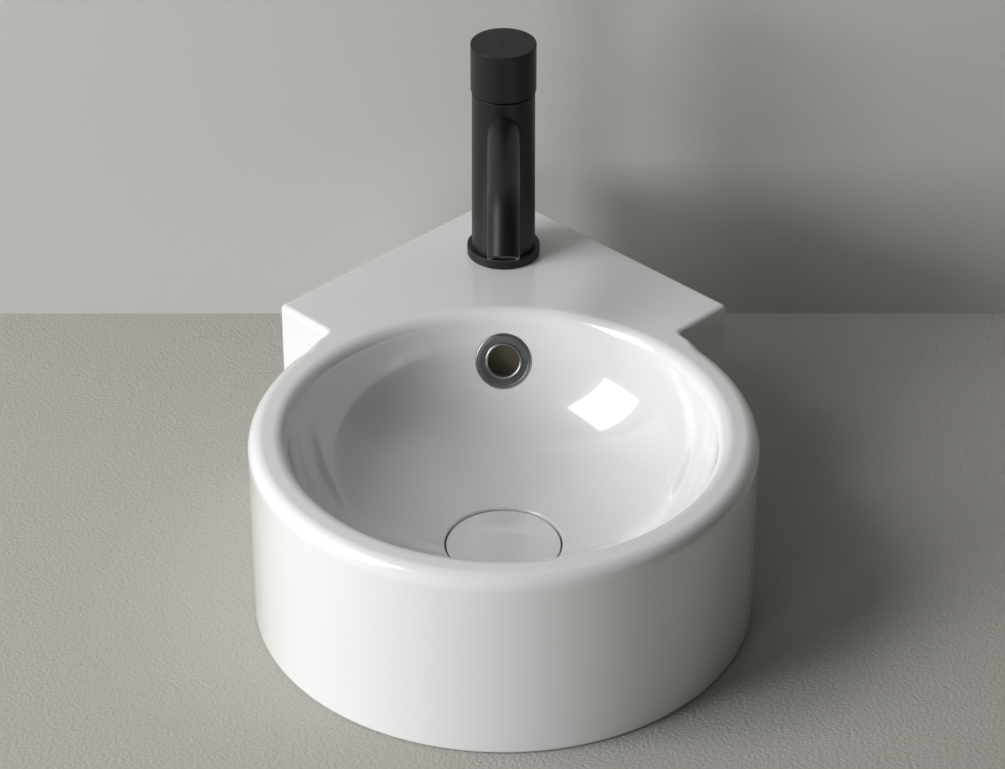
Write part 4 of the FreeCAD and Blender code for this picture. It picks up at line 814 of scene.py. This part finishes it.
steel = material("zinc_plated_steel", (0.60, 0.61, 0.62), 0.32, 1.0)
tint(steel, pattern(steel, CELLS, 420), (0.64, 0.65, 0.67), (0.55, 0.56, 0.58))

# %% Plastics, rubber and plain ceramic
moulded = material("moulded_plastic", (0.72, 0.72, 0.70), 0.45)
relief(moulded, pattern(moulded, NOISE, 1500, Detail=2.0), 0.03, 0.4)

dark_plastic = material("dark_plastic", (0.055, 0.055, 0.057), 0.40)
relief(dark_plastic, pattern(dark_plastic, NOISE, 1500, Detail=2.0), 0.03, 0.4)

rubber = material("black_rubber", (0.035, 0.035, 0.035), 0.70)
relief(rubber, pattern(rubber, NOISE, 1100, Detail=3.0), 0.05, 0.6)

biscuit = material("unglazed_ceramic", (0.66, 0.63, 0.57), 0.80)
tint(biscuit, pattern(biscuit, NOISE, 45, Detail=4.0), (0.70, 0.67, 0.61), (0.60, 0.57, 0.50))
relief(biscuit, pattern(biscuit, NOISE, 900, Detail=3.0), 0.08, 0.6)

# Raw clay of the duct: brownish like real unglazed clay, and made darker still to paint the shade inside
# the narrow duct.
duct_clay_painted_shade = material("duct_clay_painted_shade", (0.40, 0.36, 0.27), 0.75)
tint(duct_clay_painted_shade, pattern(duct_clay_painted_shade, NOISE, 120, Detail=3.0), (0.44, 0.40, 0.30), (0.36, 0.32, 0.24))

disc_ceramic = material("lapped_ceramic", (0.82, 0.80, 0.76), 0.16)
spread(disc_ceramic, pattern(disc_ceramic, NOISE, 300), 0.12, 0.22, "Roughness")

# %% [markdown]
# Every piece takes the finish of its slot in the record: the new meshes as well as the CAD nodes that
# stay, most of which are inside the tap or under the bowl.

# %% Dress every piece
FINISH = {
    "glaze": glaze, "disc_ceramic": disc_ceramic, "tap_black": coat_black, "ring_metal": trim,
    "waste_metal": chromed, "waste_brass": brass, "spring_steel": steel, "fixing_steel": steel,
    "waste_plastic": moulded, "cartridge_plastic": moulded, "aerator_plastic": dark_plastic,
    "seal_rubber": rubber,
}
for name, thing in nodes.items():
    thing.data.materials.clear()
    thing.data.materials.append(FINISH[slot_of[name]])
for slot, finish in ((GLAZED, glaze), (RAW, biscuit), (DUCT, duct_clay_painted_shade)):
    basin.data.materials[slot] = finish
turned_pieces = (overflow_ring, cap, pillar, base_ring, knob, spout)
for thing in turned_pieces:
    thing.data.materials.clear()
    thing.data.materials.append(FINISH[thing["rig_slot"]])
print("dressed", len(nodes), "nodes and", 1 + len(turned_pieces), "new pieces")

# %% [markdown]
# ## Floor and backdrop
#
# The basin stands on a pale, finely grained surface in front of a wall of the same family of greys.
# Both are plain sheets with a procedural grain. Their colour carries the picture's tone, so the lamps
# can stay at a plain level.

# %% Stage
FAR = 4000                   # how far the sheets reach
WALL_Y = BOWL_Y + 322.0      # the floor's far edge in the picture


def sheet(name, corners, colour, darker, grain, depth):
    """A flat sheet with soft patches of a darker tone and a grain of that scale and depth."""
    mesh = bmesh.new()
    mesh.faces.new([mesh.verts.new(point(*corner)) for corner in corners])
    thing = as_object(name, mesh)
    finish = material(name + "_plaster", colour, roughness=0.85)
    tint(finish, pattern(finish, NOISE, 3.0, Detail=5.0), colour, darker)
    relief(finish, pattern(finish, NOISE, grain, Detail=4.0, Roughness=0.6), depth, 0.8)
    thing.data.materials.append(finish)
    return thing


sheet("floor", [(-FAR, -FAR, 0), (FAR, -FAR, 0), (FAR, FAR, 0), (-FAR, FAR, 0)],
      (0.485, 0.467, 0.430), (0.455, 0.437, 0.402), grain=400, depth=1.1)
wall = sheet("wall", [(-FAR, WALL_Y, 0), (FAR, WALL_Y, 0), (FAR, WALL_Y, FAR), (-FAR, WALL_Y, FAR)],
             (0.560, 0.553, 0.530), (0.545, 0.538, 0.515), grain=160, depth=0.12)
print("wall at y = %.1f" % WALL_Y)

# %% [markdown]
# The basin is also looked at from behind, where the wall would hide it. So the wall's back is clear to
# the camera, and the wall throws no shadow, so that the lamps reach the floor beyond.

# %% Clear back
tree = wall.data.materials[0].node_tree
facing, ray = tree.nodes.new("ShaderNodeNewGeometry"), tree.nodes.new("ShaderNodeLightPath")
both = tree.nodes.new("ShaderNodeMath")
both.operation = "MULTIPLY"
clear, blend = tree.nodes.new("ShaderNodeBsdfTransparent"), tree.nodes.new("ShaderNodeMixShader")
tree.links.new(facing.outputs["Backfacing"], both.inputs[0])
tree.links.new(ray.outputs["Is Camera Ray"], both.inputs[1])
tree.links.new(both.outputs[0], blend.inputs[0])
tree.links.new(tree.nodes["Principled BSDF"].outputs[0], blend.inputs[1])
tree.links.new(clear.outputs[0], blend.inputs[2])
tree.links.new(blend.outputs[0], tree.nodes["Material Output"].inputs["Surface"])
wall.visible_shadow = False
print("wall faces", rounded(wall.data.polygons[0].normal, 0))

# %% [markdown]
# ## Light
#
# Four soft lamps on the left and in front do all the work, and the rest is what the pale floor and
# wall throw back. The first is the window that mirrors in the bowl's right side, so its place and
# size come from that patch. The low one makes the shadow that runs over floor and wall to the right,
# the front one opens the skirt's middle, and the high one lifts the deck. Those three mirror nowhere
# in the picture, so the glaze doesn't show them. Each lamp is placed by its direction as seen from
# the bowl, because that is what a highlight or a shadow tells.

# %% Lamps
TARGET = point(0, BOWL_Y, 100)
LAMP_DISTANCE = 3.6          # metres from the target


def softbox(name, compass, rise, size, power):
    """A rectangular lamp that faces the bowl, at degrees round from +X and degrees above the level."""
    lamp = bpy.data.lights.new(name, "AREA")
    lamp.shape = "RECTANGLE"
    lamp.size, lamp.size_y = size
    lamp.energy = power
    away = Matrix.Rotation(radians(compass), 3, "Z") @ Matrix.Rotation(radians(-rise), 3, "Y") @ ACROSS
    thing = bpy.data.objects.new(name, lamp)
    thing.location = TARGET + away * LAMP_DISTANCE
    thing.rotation_euler = away.to_track_quat("Z", "Y").to_euler()
    bpy.context.scene.collection.objects.link(thing)
    return thing


softbox("window", -160, 35, (1.55, 2.5), 80)
softbox("low_panel", -145, 11, (1.05, 1.4), 54).visible_glossy = False
softbox("front_panel", -118, 9, (1.0, 1.0), 20).visible_glossy = False
softbox("high_panel", -176, 52, (1.1, 1.1), 12).visible_glossy = False
print("lamps:", [(lamp.name, lamp.energy) for lamp in bpy.data.lights])

# %% World and view
world = bpy.data.worlds.new("studio")
world.use_nodes = True
background = world.node_tree.nodes["Background"]
background.inputs["Color"].default_value = (0.95, 0.97, 1.0, 1)
background.inputs["Strength"].default_value = 0.005
bpy.context.scene.world = world
bpy.context.scene.view_settings.view_transform = "Standard"
print("view transform:", bpy.context.scene.view_settings.view_transform)
